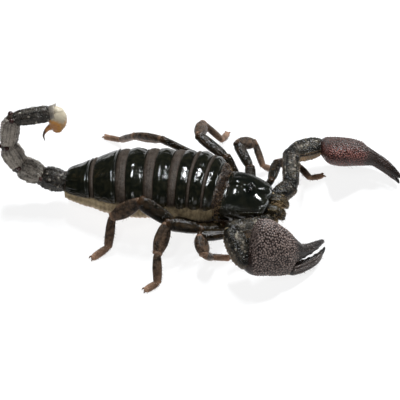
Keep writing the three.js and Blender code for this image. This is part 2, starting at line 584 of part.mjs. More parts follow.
// ---------------------------------------------------------------- assembly
const COLOURS = {
  shell: [0x14181a, 0.22], skin: [0x4a4238, 0.6], leg: [0x17120f, 0.3], foot: [0x4a2616, 0.45],
  claw: [0x2b1c1c, 0.5], arm: [0x15130f, 0.35], tail: [0x23211e, 0.4], vesicle: [0xb5793a, 0.4],
  eye: [0x0a0a0c, 0.05], mouth: [0x57493c, 0.5], under: [0x3b2c20, 0.5], comb: [0x7c6a50, 0.6],
};
const model = new THREE.Group();
function place(name, solid, colour) {
  const [tone, roughness] = COLOURS[colour];
  const material = new THREE.MeshStandardMaterial({ color: tone, roughness, metalness: 0 });
  const mesh = new THREE.Mesh(toGeometry(solid), material);
  mesh.name = name;
  model.add(mesh);
}

const shieldGrown = headShield(0.6);
const eyesGrown = [eyeBall(1, 0.3), eyeBall(-1, 0.3)];
const legs = Object.fromEntries(Object.keys(LEGS).map((key) => [key, legParts(key)]));
const arms = { left: armParts('left'), right: armParts('right') };
const legsGrown = Object.values(legs).map((leg) => leg.femur(SOCKET));
const coxaeGrown = Object.values(arms).map((arm) => arm.coxa(SOCKET));
const trunkGrown = TRUNK_SEGMENTS.map((row) => trunkSegment(row, SOCKET));

place('carapace', cut(headShield(), [...eyesGrown, ...legsGrown]), 'shell');
place('median_eye_left', eyeBall(1), 'eye');
place('median_eye_right', eyeBall(-1), 'eye');
const trochantersGrown = Object.values(arms).map((arm) => arm.trochanter(SOCKET));
place('chelicera_left', cut(chelicera(1), [shieldGrown, coxaeGrown[0], trochantersGrown[0]]), 'mouth');
place('chelicera_right', cut(chelicera(-1), [shieldGrown, coxaeGrown[1], trochantersGrown[1]]), 'mouth');
place('prosoma_underside', cut(underside(), [...legsGrown, ...coxaeGrown, trunkGrown[0],
  ...trochantersGrown]), 'under');

TRUNK_SEGMENTS.forEach((row) => place(row.name, cut(trunkSegment(row), legsGrown), 'shell'));

[['left', 1], ['right', -1]].forEach(([side, sign]) => {
  place(`pectine_${side}`, cut(pectine(sign), [trunkGrown[0], trunkGrown[1], ...legsGrown]), 'comb');
});

TAIL_SIZES.forEach((size, i) => {
  const tools = i === 0 ? [trunkGrown[6]] : [tailRing(i - 1, SOCKET)];
  place(`metasoma_${i + 1}`, cut(tailRing(i), tools), 'tail');
});
place('telson', cut(telson(), [tailRing(4, SOCKET)]), 'vesicle');

['left', 'right'].forEach((side) => {
  const arm = arms[side];
  place(`pedipalp_${side}_coxa`, cut(arm.coxa(0), [arm.trochanter(SOCKET), shieldGrown, ...legsGrown]), 'under');
  place(`pedipalp_${side}_trochanter`, cut(arm.trochanter(0), [shieldGrown]), 'arm');
  place(`pedipalp_${side}_femur`, cut(arm.femur(0), [arm.trochanter(SOCKET)]), 'arm');
  place(`pedipalp_${side}_patella`, cut(arm.patella(0), [arm.femur(SOCKET)]), 'arm');
  place(`pedipalp_${side}_palm`, cut(palm(side), [arm.patella(SOCKET), finger(side, SOCKET)]), 'claw');
  place(`pedipalp_${side}_finger`, finger(side), 'claw');
});

const ground = new THREE.BoxGeometry(400, 400, 20);
ground.translate(0, 0, -10);
const groundSolid = toSolid(ground);
Object.entries(legs).forEach(([key, leg]) => {
  place(`leg_${key}_femur`, leg.femur(0), 'leg');
  place(`leg_${key}_patella`, cut(leg.patella(0), [leg.femur(SOCKET)]), 'leg');
  place(`leg_${key}_foot`, cut(leg.foot, [leg.patella(SOCKET), groundSolid]), 'foot');
});

// Stand the model with its lowest point on z = 0 and its box centred on the origin.
const box = new THREE.Box3().setFromObject(model);
const middle = box.getCenter(new THREE.Vector3());
model.position.set(-middle.x, -middle.y, -box.min.z);
model.updateMatrixWorld(true);

export default model;
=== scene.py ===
"""Emperor scorpion, a life-size still model on eight feet: the finish of every surface.

Shapes are worked out in millimetres in the standing frame: +X towards the head, +Y to the
animal's left, +Z up, feet on z = 0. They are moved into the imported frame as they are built.
"""
import functools
import itertools
import math

import bpy
import numpy as np
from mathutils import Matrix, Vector, kdtree


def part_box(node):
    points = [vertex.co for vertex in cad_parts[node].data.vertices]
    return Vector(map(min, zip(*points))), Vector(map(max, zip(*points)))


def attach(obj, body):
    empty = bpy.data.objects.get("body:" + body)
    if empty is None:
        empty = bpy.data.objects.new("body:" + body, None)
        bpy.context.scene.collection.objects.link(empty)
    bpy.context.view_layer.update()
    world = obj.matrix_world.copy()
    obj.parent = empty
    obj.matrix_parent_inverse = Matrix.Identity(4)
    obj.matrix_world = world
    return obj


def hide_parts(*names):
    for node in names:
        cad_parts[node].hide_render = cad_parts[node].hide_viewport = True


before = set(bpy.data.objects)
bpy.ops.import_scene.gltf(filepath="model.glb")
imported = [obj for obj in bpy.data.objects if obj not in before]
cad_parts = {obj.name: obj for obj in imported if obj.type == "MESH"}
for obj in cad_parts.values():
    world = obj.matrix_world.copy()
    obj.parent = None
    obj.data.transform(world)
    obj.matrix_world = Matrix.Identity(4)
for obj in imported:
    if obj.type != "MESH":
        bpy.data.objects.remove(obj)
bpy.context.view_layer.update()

MM = 0.001
SIDES = (("left", 1), ("right", -1))

# ---------------------------------------------------------------- measures, millimetres
# Trunk along X: height of its middle line, half width and half depth.
TRUNK_HEIGHT = [[-45.6, 11.4], [-40, 11.8], [-34, 12.5], [-22, 13.4], [-11, 13.6], [4, 14.1], [13, 14.6],
                [22.1, 14.0]]
TRUNK_WIDTH = [[-45.6, 6.6], [-43, 8.3], [-40, 9.7], [-35.7, 11.7], [-31.3, 13.5], [-26.8, 15.3],
               [-22.3, 16.8], [-17.9, 17.4], [-11, 17.8], [4, 18.0], [13, 17.8], [18, 17.0], [22.1, 15.2]]
TRUNK_DEPTH = [[-45.6, 4.9], [-43, 5.5], [-40, 6.0], [-35.7, 7.2], [-31.3, 8.3], [-26.8, 9.3],
               [-22.3, 10.1], [-17.9, 10.5], [-11, 10.7], [4, 10.9], [13, 10.8], [18, 10.3], [22.1, 9.3]]
TRUNK_SQUARENESS = 2.25
# The trunk's line in plan: heading at the rear, how far it turns from TURN_FROM on, both in degrees.
REAR_HEADING, HEADING_CHANGE, TURN_FROM, TURN_LENGTH = 7, 11.5, -15, 36
TRUNK_REAR = (-45.6, -2.6)
# Back plates from the head end: rear edge and front edge along X.
BACK_PLATES = [(16.9, 21.7), (10.2, 15.6), (3.8, 8.8), (-6.8, 0.1), (-19.1, -11.1), (-33.2, -23.4),
               (-45.2, -35.0)]
PLATE_BOW = 1.3                       # how far a plate reaches forward at its sides
BACK_HALF_ANGLE = math.radians(76)
BACK_RISE = [[0, 0.0], [0.1, 0.36], [0.28, 0.68], [0.4, 0.76], [0.6, 0.5], [0.82, 0.05], [1, -0.35]]
REAR_RISE = [[0, 0.0], [0.1, 0.3], [0.35, 0.5], [0.8, 0.6], [1, 0.5]]
BACK_THICKNESS = 0.9
BELLY_PLATES = [(2.6, 13.6), (-8.4, 1.8), (-20.6, -9.0), (-33.6, -21.4), (-45.2, -34.4)]
BELLY_HALF_ANGLE = math.radians(47)
BELLY_RISE = [[0, 0.34], [0.1, 0.36], [0.6, 0.3], [1, 0.1]]
BELLY_THICKNESS = 0.6
SKIN_SINK = -0.25                     # the soft skin below the trunk's nominal surface

HEAD_X = 33.0
SHIELD_REAR, SHIELD_FRONT, SHIELD_EDGE_HEIGHT = -8.7, 11.7, 11.4
SHIELD_TOP = [[-8.7, 18.3], [-6.2, 19.3], [-4, 19.75], [-2, 19.7], [0, 19.4], [3, 18.7], [6, 17.8],
              [9, 16.55], [11.7, 15.1]]
SHIELD_WIDTH = [[-10.8, 12.9], [-5, 13.1], [1, 12.7], [6, 11.3], [11.7, 9.2]]
EYE_X, EYE_SPREAD, EYE_HEIGHT, EYE_RADIUS = 2.6, 1.5, 19.976, 0.85
SIDE_EYES = [(9.9, 6.3, 0.42), (9.2, 7.2, 0.45), (8.3, 7.9, 0.34)]     # place in the head, and radius

# Walking legs: hip and turning joint in the head's frame, then five points from knee to toe.
LEGS = {
    "right_1": dict(hip=(5, -9.3), turn=(5.4, -12.4), size=0.84, points=[
        (35.5, -20, 8.3), (43.5, -22.6, 6.8), (50.5, -20.6, 4.4), (55, -18.2, 2.1), (58.6, -15.8, 0.6)]),
    "right_2": dict(hip=(-0.5, -10.6), turn=(-0.6, -13.8), size=0.93, shin_girth=1.2, points=[
        (28.1, -19.3, 10), (17.9, -25.2, 13), (20.9, -32.4, 9.5), (23.0, -27.1, 3.0), (29.9, -24.2, 0.6)]),
    "right_3": dict(hip=(-6.3, -11.2), turn=(-7, -14.6), size=1.02, points=[
        (17, -20.0, 11.8), (3.6, -24.8, 17.4), (1.5, -35.8, 10), (3.3, -44.9, 2.2), (-1, -48.2, 0.6)]),
    "right_4": dict(hip=(-11.8, -11.4), turn=(-13.8, -15.2), size=1.05, knee_girth=1.2, points=[
        (4.9, -19.8, 13.6), (-9.2, -17.0, 20.8), (-21, -20.8, 13), (-21.3, -29, 3.0), (-26.8, -34.2, 0.6)]),
    "left_1": dict(hip=(5, 9.3), turn=(6, 12.2), size=0.84, points=[
        (42.5, 15.6, 11), (43.2, 28.9, 9.5), (52.8, 33.2, 4.5), (58.3, 29.1, 2.0), (63.4, 32.7, 0.6)]),
    "left_2": dict(hip=(-0.5, 10.6), turn=(-0.5, 14.2), size=0.9, points=[
        (32, 22.6, 10.5), (24.7, 31.6, 15.6), (31.9, 37.9, 11), (36.8, 30.4, 4.6), (40.2, 33.2, 0.6)]),
    "left_3": dict(hip=(-6.3, 11.2), turn=(-7, 15.2), size=0.94, points=[
        (21, 24, 13.5), (7.1, 32.2, 16.8), (7.1, 45.2, 12.4), (15.7, 45.6, 3.2), (16.9, 52.8, 0.6)]),
    "left_4": dict(hip=(-11.8, 11.4), turn=(-13.6, 15.6), size=0.96, points=[
        (8.6, 25.4, 10.2), (-8.6, 27.2, 16.5), (-22.3, 31.9, 12.0), (-29.8, 38.0, 2.9), (-37.8, 41, 0.6)]),
}
HIP_HEIGHT, TURN_HEIGHT = 6.0, 7.2
# Limb profiles: fraction of the length, half depth in the bending plane, half thickness across it.
TROCHANTER = [[0, 1.9, 1.8], [0.5, 2.3, 2.0], [1, 2.2, 1.8]]
FEMUR = [[0, 2.0, 1.6], [0.3, 2.5, 1.75], [0.7, 2.6, 1.8], [0.9, 2.55, 1.85], [1, 2.3, 1.7]]
PATELLA = [[0, 1.7, 1.5], [0.1, 2.1, 1.65], [0.3, 2.5, 1.8], [0.7, 2.7, 1.8], [0.92, 2.4, 1.8],
           [1, 2.1, 1.65]]
TIBIA = [[0, 1.7, 1.5], [0.1, 2.3, 1.65], [0.32, 3.05, 1.85], [0.64, 3.2, 1.85], [0.9, 2.3, 1.65],
         [1, 1.9, 1.5]]
BASITARSUS = [[0, 1.35, 1.2], [0.12, 1.7, 1.35], [0.5, 2.0, 1.5], [0.88, 1.8, 1.4], [1, 1.6, 1.25]]
TARSUS = [[0, 1.15, 1.05], [0.15, 1.4, 1.2], [0.5, 1.6, 1.3], [0.85, 1.5, 1.25], [1, 1.2, 1.1]]
TOE_CLAW_LENGTH = 1.5

# Pincer arms: the coxa's tip in the head's frame, then points from the trochanter to the finger tip.
# inward is where the fixed finger's side of the palm faces, plump scales the palm's thickness, and the
# movable finger stands open by gape in degrees, low by drop and lower still along its length by splay.
ARMS = {
    "right": dict(sign=-1, coxa=(11.0, -7.4, 8.4), inward=(0, 0.6, 0.79), plump=1, gape=0, drop=0,
                  splay=0,
                  points=[(42.5, -13.2, 11.5), (30.7, -25.3, 18.5), (39.9, -37.1, 12.5),
                          (69.2, -13.3, 7.0)]),
    "left": dict(sign=1, coxa=(12.0, 7.2, 8.6), inward=(0, -0.85, 0.52), plump=0.93, gape=5, drop=1.2,
                 splay=0.09,
                 points=[(51.5, 13.6, 10.4), (49.1, 30.8, 14), (61.1, 41.0, 11.0), (97.2, 33.2, 5.5)]),
}
ARM_TROCHANTER = [[0, 3.2, 3.1], [0.5, 3.9, 3.6], [1, 3.5, 3.1]]
ARM_FEMUR = [[0, 2.9, 2.7], [0.12, 3.4, 3.0], [0.3, 3.6, 3.1], [0.75, 3.8, 3.2], [0.93, 3.7, 3.2],
             [1, 3.3, 3.0]]
ARM_PATELLA = [[0, 2.9, 2.8], [0.12, 3.7, 3.2], [0.3, 4.5, 3.6], [0.7, 4.7, 3.7], [0.93, 3.9, 3.3],
               [1, 3.3, 3.0]]
# Palm and fixed finger: distance from the wrist, inner edge, outer edge, half thickness.
PALM = [[-1.2, 2.0, -2.6, 2.2], [0.4, 3.8, -4.2, 3.7], [2.2, 7.2, -5.0, 4.7], [4.2, 14.0, -5.6, 5.4],
        [6.4, 17.2, -6.0, 5.9], [10, 17.6, -6.6, 6.2], [14, 15.6, -7.1, 6.0], [18, 12.2, -6.7, 5.2],
        [20.4, 9.7, -3.6, 4.5], [23, 6.7, -2.6, 3.7], [26, 3.9, -1.7, 3.0], [31, 3.6, -0.5, 2.4],
        [35.6, 3.4, 1.3, 1.4]]
PALM_TIP = (37.6, 2.3)
# Movable finger: distance from the wrist, middle, half width, half thickness.
FINGER = [[16.6, -5.3, 1.4, 1.8], [18.8, -5.7, 2.4, 2.8], [22, -5.7, 2.6, 2.9], [26, -5.4, 2.5, 2.6],
          [30, -4.8, 2.2, 2.3], [33.4, -3.7, 1.8, 1.8], [36, -2.3, 1.15, 1.2]]
FINGER_TIP = (37.9, -0.6)
CURL_FROM, CURL = 13.0, 0.013         # the hand droops towards its tip, from this distance on

# Tail: joints from the trunk to the sting, and half height and half width of its five rings.
TAIL_POINTS = [(-45.3, -2.4, 11.5), (-55.8, -2.6, 14.3), (-65.5, -2.2, 18.3), (-71.2, 0.4, 26.4),
               (-69.7, 5.1, 38.7), (-52.2, 9.0, 41.5)]
TAIL_SIZES = [(4.7, 5.2), (4.8, 4.9), (4.4, 4.5), (3.8, 3.9), (3.35, 3.6)]
TAIL_PROFILE = [[0, 0.66], [0.08, 0.82], [0.22, 0.97], [0.48, 1.06], [0.75, 1.05], [0.9, 0.95], [1, 0.76]]
VESICLE_FROM, VESICLE_TO, VESICLE_RADIUS = (-50.0, 9.7, 42.7), (-50.1, 6.6, 34.4), 3.9
STING_POINTS = [(-50.6, 7.2, 36.2), (-53.2, 6.9, 35.2), (-55.3, 6.2, 33.2), (-56.2, 5.4, 30.9),
                (-55.6, 4.7, 28.6)]
STING_RADII = [2.2, 1.35, 0.8, 0.46, 0.14]

# How finely the forms are sampled: rows along them, and columns or sides across them.
BACK_ROW_STEP, BACK_LEAST_ROWS, BACK_COLUMNS = 0.152, 34, 238
BELLY_ROWS, BELLY_COLUMNS = 44, 88
SKIN_ROWS, SKIN_COLUMNS = 372, 105
SHIELD_ROWS, SHIELD_COLUMNS, SHIELD_UNDER_COLUMNS = 142, 180, 40
NECK_ROWS, NECK_SIDES = 60, 240
PALM_ROWS, PALM_SIDES = 240, 290
FINGER_ROWS, FINGER_SIDES = 176, 104
ARM_SIDES = 122
TAIL_ROWS, TAIL_SIDES = 112, 166
STING_VOXEL, STING_ROUNDS = 0.135, 8

CAMERA_AZIMUTH, CAMERA_ELEVATION = math.radians(10), math.radians(45)
CAMERA_DISTANCE = 700.0
CAMERA_TARGET = (12.5268, 5.5484, 3.2888)
CAMERA_LENS, CAMERA_SENSOR = 143.182, 36.0

PI = math.pi
UP = np.array([0, 0, 1.0])
HASH = (374761393, 668265263, 1440662683, 1274126177)     # large odd numbers that mix a cell's place
EVEN_TINT = 0.5                       # tint of a surface without granules


# ---------------------------------------------------------------- small maths
def unit(way):
    way = np.asarray(way, float)
    return way / np.maximum(np.linalg.norm(way, axis=-1, keepdims=True), 1e-12)


def power(value, exponent):
    return np.sign(value) * np.abs(value) ** exponent


def smooth(low, high, value):
    t = np.clip((value - low) / (high - low), 0, 1)
    return t * t * (3 - 2 * t)


def hill(value, centre, width):
    return np.exp(-((value - centre) / width) ** 2)


def rounded(distance, radius):
    """From nought at an edge to one inside it, as a round edge rises."""
    t = np.clip(distance / radius, 0, 1)
    return np.sqrt(np.clip(1 - (1 - t) ** 2, 0, 1))


def circle(sides):
    return np.linspace(0, 2 * PI, sides, endpoint=False)


def grid(rows, columns):
    return np.meshgrid(rows, columns, indexing="ij")


def along(table, x, column=1):
    """Smooth value from a table of [x, value] rows."""
    table = np.asarray(table, float)
    at, values = table[:, 0], table[:, column]
    last = len(at) - 1
    before = np.maximum(np.arange(last + 1) - 1, 0)
    after = np.minimum(np.arange(last + 1) + 1, last)
    slope = (values[after] - values[before]) / (at[after] - at[before])
    x = np.clip(x, at[0], at[-1])
    i = np.clip(np.searchsorted(at, x, side="right") - 1, 0, last - 1)
    span = at[i + 1] - at[i]
    t = (x - at[i]) / span
    return ((2 * t**3 - 3 * t**2 + 1) * values[i] + (t**3 - 2 * t**2 + t) * span * slope[i]
            + (3 * t**2 - 2 * t**3) * values[i + 1] + (t**3 - t**2) * span * slope[i + 1])


def noise(points, size, seed=0):
    """Smooth seeded noise from -1 to 1 that varies over the given size."""
    q = np.asarray(points) / size
    cell = np.floor(q).astype(np.int64)
    f = q - cell
    f = f * f * (3 - 2 * f)
    total = np.zeros(len(q))
    for corner in itertools.product((0, 1), repeat=3):
        n = ((cell + corner) @ np.array(HASH[:3]) + seed * HASH[3]) & 0x7FFFFFFF
        n = ((n ^ (n >> 13)) * HASH[3]) & 0x7FFFFFFF
        value = ((n ^ (n >> 16)) & 0xFFFF) / 0xFFFF
        total += np.prod(np.where(corner, f, 1 - f), axis=1) * value
    return total * 2 - 1


# ---------------------------------------------------------------- the standing frame
def heading(x):
    turned = np.clip((np.asarray(x, float) - TURN_FROM) / TURN_LENGTH, 0, 1)
    return np.radians(REAR_HEADING - HEADING_CHANGE * turned)


LINE_STEP = 0.05
LINE_X = np.arange(-60.0, 60.0, LINE_STEP)
LINE_Y = np.cumsum(np.tan(heading(LINE_X + LINE_STEP / 2))) * LINE_STEP
LINE_Y += TRUNK_REAR[1] - np.interp(TRUNK_REAR[0] - LINE_STEP, LINE_X, LINE_Y)


def line_y(x):
    return np.interp(np.asarray(x, float) - LINE_STEP, LINE_X, LINE_Y)


def off_line(x, y, z):
    """Points at a distance y to the left of the trunk's line."""
    turn = heading(x)
    return np.stack([x - np.sin(turn) * y, line_y(x) + np.cos(turn) * y, z], -1)


HEAD_TURN = float(heading(HEAD_X))
HEAD_Y = float(line_y(HEAD_X))


def in_head(x, y, z):
    """Points given in the head's own frame."""
    c, s = math.cos(HEAD_TURN), math.sin(HEAD_TURN)
    x, y, z = np.broadcast_arrays(np.asarray(x, float), np.asarray(y, float), np.asarray(z, float))
    return np.stack([HEAD_X + c * x - s * y, HEAD_Y + s * x + c * y, z], -1)


def head_side(sign, x, y, z):
    """A point of the head given for its left side, mirrored to the right where sign is -1."""
    return in_head(x, sign * y, z)


def shield_front(y):
    return SHIELD_FRONT - 1.5 * np.exp(-(y / 1.5) ** 2) - 0.02 * np.abs(y) ** 2.1


def shield_surface(x, y):
    across = np.minimum(np.abs(y) / along(SHIELD_WIDTH, x), 1)
    arch = (1 - across**2.5) ** (1 / 2.5)
    hump = 1.8 * np.exp(-((x - EYE_X) / 1.8) ** 2 - (y / 2.1) ** 2)
    furrow = -0.7 * hill(y, 0, 1.1) * smooth(-1, 2, -x)
    front_furrow = -0.5 * hill(y, 0, 1.2) * smooth(5, 8, x)
    arched = SHIELD_EDGE_HEIGHT + (along(SHIELD_TOP, x) - SHIELD_EDGE_HEIGHT) * arch
    return arched + hump + furrow + front_furrow


def eye_centre(side):
    return in_head(EYE_X, side * EYE_SPREAD, EYE_HEIGHT)


def shift_to_frame():
    """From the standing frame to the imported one, told by the middle of the two median eyes."""
    packed = sum(np.array(corner) for side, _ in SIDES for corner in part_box(f"median_eye_{side}")) / 4
    standing = (eye_centre(1) + eye_centre(-1)) / 2
    return packed / MM - standing


SHIFT = shift_to_frame()


# ---------------------------------------------------------------- forms
class Form:
    """One surface: points, faces of four and three corners, and values kept at every point."""

    patches = None

    def __init__(self, points, quads=(), tris=(), **values):
        self.points = np.asarray(points, float).reshape(-1, 3)
        self.quads = np.asarray(quads, int).reshape(-1, 4)
        self.tris = np.asarray(tris, int).reshape(-1, 3)
        self.values = {}
        for name, value in values.items():
            self[name] = value

    def __getitem__(self, name):
        return self.values[name]

    def __setitem__(self, name, value):
        self.values[name] = np.broadcast_to(np.asarray(value, float), len(self.points)).copy()

    def value(self, name, default=0.0):
        return self.values.get(name, np.full(len(self.points), default))

    def faces(self):
        return [faces for faces in (self.quads, self.tris) if len(faces)]

    def face_ways(self, faces):
        a, b, c, d = (self.points[faces[:, k]] for k in (0, 1, 2, -1))
        return np.cross(c - a, d - b)

    def outward(self):
        """Turns the faces round where they look inwards."""
        volume = sum(np.sum(self.points[faces[:, 0]] * self.face_ways(faces)) for faces in self.faces())
        if volume < 0:
            self.quads = self.quads[:, ::-1]
            self.tris = self.tris[:, ::-1]
        return self

    def normals(self):
        total = np.zeros_like(self.points)
        for faces in self.faces():
            way = self.face_ways(faces)
            for corner in faces.T:
                for axis in range(3):
                    total[:, axis] += np.bincount(corner, way[:, axis], len(self.points))
        return unit(total)

    def up(self):
        return self.normals()[:, 2]

    def raise_by(self, height):
        self.points = self.points + self.normals() * np.asarray(height)[:, None]
        return self

    def keep_above(self, height):
        self.points[:, 2] = np.maximum(self.points[:, 2], height)

    def off(self, aim):
        """Angle of every point round a limb from the aim."""
        return (self["turn"] - aim + PI) % (2 * PI) - PI


def join(forms):
    names = sorted({name for form in forms for name in form.values})
    offsets = np.cumsum([0] + [len(form.points) for form in forms])
    values = {name: np.concatenate([form.value(name) for form in forms]) for name in names}
    return Form(np.concatenate([form.points for form in forms]),
                np.concatenate([form.quads + k for form, k in zip(forms, offsets)]),
                np.concatenate([form.tris + k for form, k in zip(forms, offsets)]), **values)


def band(index):
    """Faces of four corners between rings of point numbers."""
    beside = np.roll(index, -1, axis=1)
    return np.stack([index[:-1], beside[:-1], beside[1:], index[1:]], -1), beside


def loft(rings, start=None, end=None, **values):
    """Closed skin through rings of equal count, shut by a point at each end."""
    rings = np.asarray(rings, float)
    rows, sides = rings.shape[:2]
    first = rows * sides
    index = np.arange(first).reshape(rows, sides)
    quads, beside = band(index)
    start = rings[0].mean(0) if start is None else start
    end = rings[-1].mean(0) if end is None else end
    tris = np.concatenate([np.stack([np.full(sides, first), beside[0], index[0]], -1),
                           np.stack([np.full(sides, first + 1), index[-1], beside[-1]], -1)])
    kept = {}
    for name, v in values.items():
        v = np.broadcast_to(np.asarray(v, float), (rows, sides))
        kept[name] = np.concatenate([v.ravel(), [v[0].mean(), v[-1].mean()]])
    return Form(np.concatenate([rings.reshape(-1, 3), [start, end]]), quads, tris, **kept).outward()


def limb(start, end, bend, profile, rows=44, sides=40, scale=1.0, domes=(0.5, 0.5), squareness=2.2):
    """Straight limb segment with rounded ends. The profile gives half sizes along the length."""
    start, end = np.asarray(start, float), np.asarray(end, float)
    length = np.linalg.norm(end - start)
    way = (end - start) / length
    v = unit(bend - way * np.dot(bend, way))
    u = np.cross(v, way)
    turn = circle(sides)
    dome_start, dome_end = profile[0][1] * scale * domes[0], profile[-1][1] * scale * domes[1]
    lift = np.linspace(0.12, PI / 2, 7)[:-1]
    place = np.concatenate([-dome_start * np.cos(lift), np.linspace(0, length, rows),
                            length + dome_end * np.cos(lift[::-1])])
    swell = np.concatenate([np.sin(lift), np.ones(rows), np.sin(lift[::-1])])
    t = np.clip(place / length, 0, 1)
    a, b = (along(profile, t, k) * scale * swell for k in (1, 2))
    centre = start + place[:, None] * way
    rings = (centre[:, None] + (a[:, None] * power(np.cos(turn), 2 / squareness))[..., None] * u
             + (b[:, None] * power(np.sin(turn), 2 / squareness))[..., None] * v)
    form = loft(rings, start - way * dome_start, end + way * dome_end, t=t[:, None], turn=turn[None],
                reach=place[:, None], girth=((a + b) / 2)[:, None])
    form.way = way
    return form


def bent_tube(points, radii, sides=16, rows=40, pointed=False):
    """Round tube of changing radius along a smooth curve through the points."""
    points = np.asarray(points, float)
    step = np.concatenate([[0], np.cumsum(np.linalg.norm(np.diff(points, axis=0), axis=1))])
    s = np.linspace(0, step[-1], rows)
    table = np.column_stack([step, points, radii])
    centre = np.stack([along(table, s, k) for k in (1, 2, 3)], -1)
    radius = along(table, s, 4)
    way = unit(np.gradient(centre, axis=0))
    side = np.zeros_like(way)
    guide = UP if abs(way[0][2]) < 0.8 else np.array([1.0, 0, 0])
    for i, w in enumerate(way):
        guide = unit(guide - w * np.dot(guide, w))
        side[i] = guide
    other = np.cross(way, side)
    turn = circle(sides)
    rings = (centre[:, None] + (radius[:, None] * np.cos(turn))[..., None] * side[:, None]
             + (radius[:, None] * np.sin(turn))[..., None] * other[:, None])
    tip = centre[-1] + way[-1] * radius[-1] * (1.5 if pointed else 0.4)
    foot = centre[0] - way[0] * radius[0] * 0.4
    form = loft(rings, foot, tip, t=(s / step[-1])[:, None], turn=turn[None], reach=s[:, None],
                girth=radius[:, None])
    form.way = way[len(way) // 2]
    return form


def spikes(centres, sizes, aside, other, tips, feet, sides, **values):
    """Many small closed spikes as one form, from the centres and sizes of their rings, root first."""
    turn = circle(sides)
    ring = np.cos(turn)[None, :, None] * aside[:, None] + np.sin(turn)[None, :, None] * other[:, None]
    rings = [centre[:, None] + size[:, None, None] * ring for centre, size in zip(centres, sizes)]
    count, corners = len(tips), len(rings) * sides
    body = np.stack(rings, 1).reshape(count, corners, 3)
    points = np.concatenate([body, tips[:, None], feet[:, None]], 1)
    index = np.arange(corners).reshape(-1, sides)
    quads, beside = band(index)
    tris = np.concatenate([np.stack([index[-1], beside[-1], np.full(sides, corners)], -1),
                           np.stack([beside[0], index[0], np.full(sides, corners + 1)], -1)])
    base = (np.arange(count) * (corners + 2))[:, None, None]
    return Form(points, quads.reshape(-1, 4)[None] + base, tris[None] + base, **values)


def beads(centres, ways, radii, heights):
    """Many small domes, each standing on its centre along its own way."""
    centres, ways = np.asarray(centres, float), unit(ways)
    count = len(centres)
    radii, heights = np.broadcast_to(radii, count), np.broadcast_to(heights, count)
    aside = unit(np.cross(ways, np.where(np.abs(ways[:, 2:]) > 0.8, [[1.0, 0, 0]], [[0, 0, 1.0]])))
    levels = ((-0.5, 1.0), (0.0, 1.0), (0.45, 0.88), (0.8, 0.55))
    rings = [centres + (heights * up)[:, None] * ways for up, _ in levels]
    sizes = [radii * wide for _, wide in levels]
    tops, feet = centres + heights[:, None] * ways, centres - 0.5 * heights[:, None] * ways
    return spikes(rings, sizes, aside, np.cross(ways, aside), tops, feet, 8, grain=1.0).outward()


def ball(centre, radius, rows=14, sides=20):
    lift = np.linspace(0, PI, rows + 2)[1:-1]
    turn = circle(sides)
    rings = centre + radius * np.stack([np.outer(np.sin(lift), np.cos(turn)),
                                        np.outer(np.sin(lift), np.sin(turn)),
                                        np.outer(np.cos(lift), np.ones(sides))], -1)
    return loft(rings, centre + UP * radius, centre - UP * radius)


def linked(name, data):
    """A new object of the scene."""
    made = bpy.data.objects.new(name, data)
    bpy.context.scene.collection.objects.link(made)
    return made


def melt(forms):
    """Joins forms into one smooth skin."""
    form = join(forms)
    mesh = bpy.data.meshes.new("melt")
    mesh.from_pydata(form.points.tolist(), [], form.quads.tolist() + form.tris.tolist())
    lump = linked("melt", mesh)
    remesh = lump.modifiers.new("skin", "REMESH")
    remesh.mode = "VOXEL"
    remesh.voxel_size = STING_VOXEL
    even = lump.modifiers.new("even", "SMOOTH")
    even.factor = 0.5
    even.iterations = STING_ROUNDS
    evaluated = lump.evaluated_get(bpy.context.evaluated_depsgraph_get())
    result = evaluated.to_mesh()
    points = np.empty(len(result.vertices) * 3)
    result.vertices.foreach_get("co", points)
    quads, tris = ([tuple(p.vertices) for p in result.polygons if len(p.vertices) == k] for k in (4, 3))
    evaluated.to_mesh_clear()
    bpy.data.objects.remove(lump)
    bpy.data.meshes.remove(mesh)
    return Form(points, quads, tris).outward()


# ---------------------------------------------------------------- surface detail
def scatter(points, spacing, rng, limit=26000):
    """Seeded even scatter: indices of points none of which is nearer to another than the spacing."""
    cells = np.floor(points / spacing).astype(int)
    nearby = list(itertools.product((-1, 0, 1), repeat=3))
    taken, kept = {}, []
    closest = spacing * spacing

    def crowded(p, x, y, z):
        for dx, dy, dz in nearby:
            for j in taken.get((x + dx, y + dy, z + dz), ()):
                d = points[j] - p
                if d[0] * d[0] + d[1] * d[1] + d[2] * d[2] < closest:
                    return True
        return False

    for i in rng.permutation(len(points))[:limit]:
        if not crowded(points[i], *cells[i]):
            taken.setdefault(tuple(cells[i]), []).append(i)
            kept.append(i)
    return np.array(kept)


def nearest(points, centres):
    tree = kdtree.KDTree(len(centres))
    for i, centre in enumerate(centres):
        tree.insert(centre, i)
    tree.balance()
    found = [tree.find(p)[1:] for p in points]
    return np.array([f[0] for f in found]), np.array([f[1] for f in found])


def granulate(form, spacing, height, seed, cover, fullness=0.5):
    """Raises rounded granules, evenly spread, as high as cover says at each point."""
    rng = np.random.default_rng(seed)
    cover = np.broadcast_to(cover, len(form.points))
    chosen = np.where(cover > 0.05)[0]
    picks = chosen[scatter(form.points[chosen], spacing, rng)]
    reach = spacing * fullness * rng.uniform(0.82, 1.12, len(picks))
    rise = height * cover[picks] * rng.uniform(0.7, 1.1, len(picks))
    tint = rng.uniform(0, 1, len(picks))
    near, distance = nearest(form.points[chosen], form.points[picks])
    dome = np.sqrt(np.clip(1 - (distance / reach[near]) ** 2, 0, None))
    lift, grain, tints = (np.full(len(form.points), fill) for fill in (0.0, 0.0, EVEN_TINT))
    lift[chosen] = dome * rise[near]
    grain[chosen] = dome * np.clip(rise[near] / height, 0, 1)
    tints[chosen] = tint[near]
    form.raise_by(lift)
    form["grain"] = np.maximum(form.value("grain"), grain)
    form["tint"] = tints
    return form


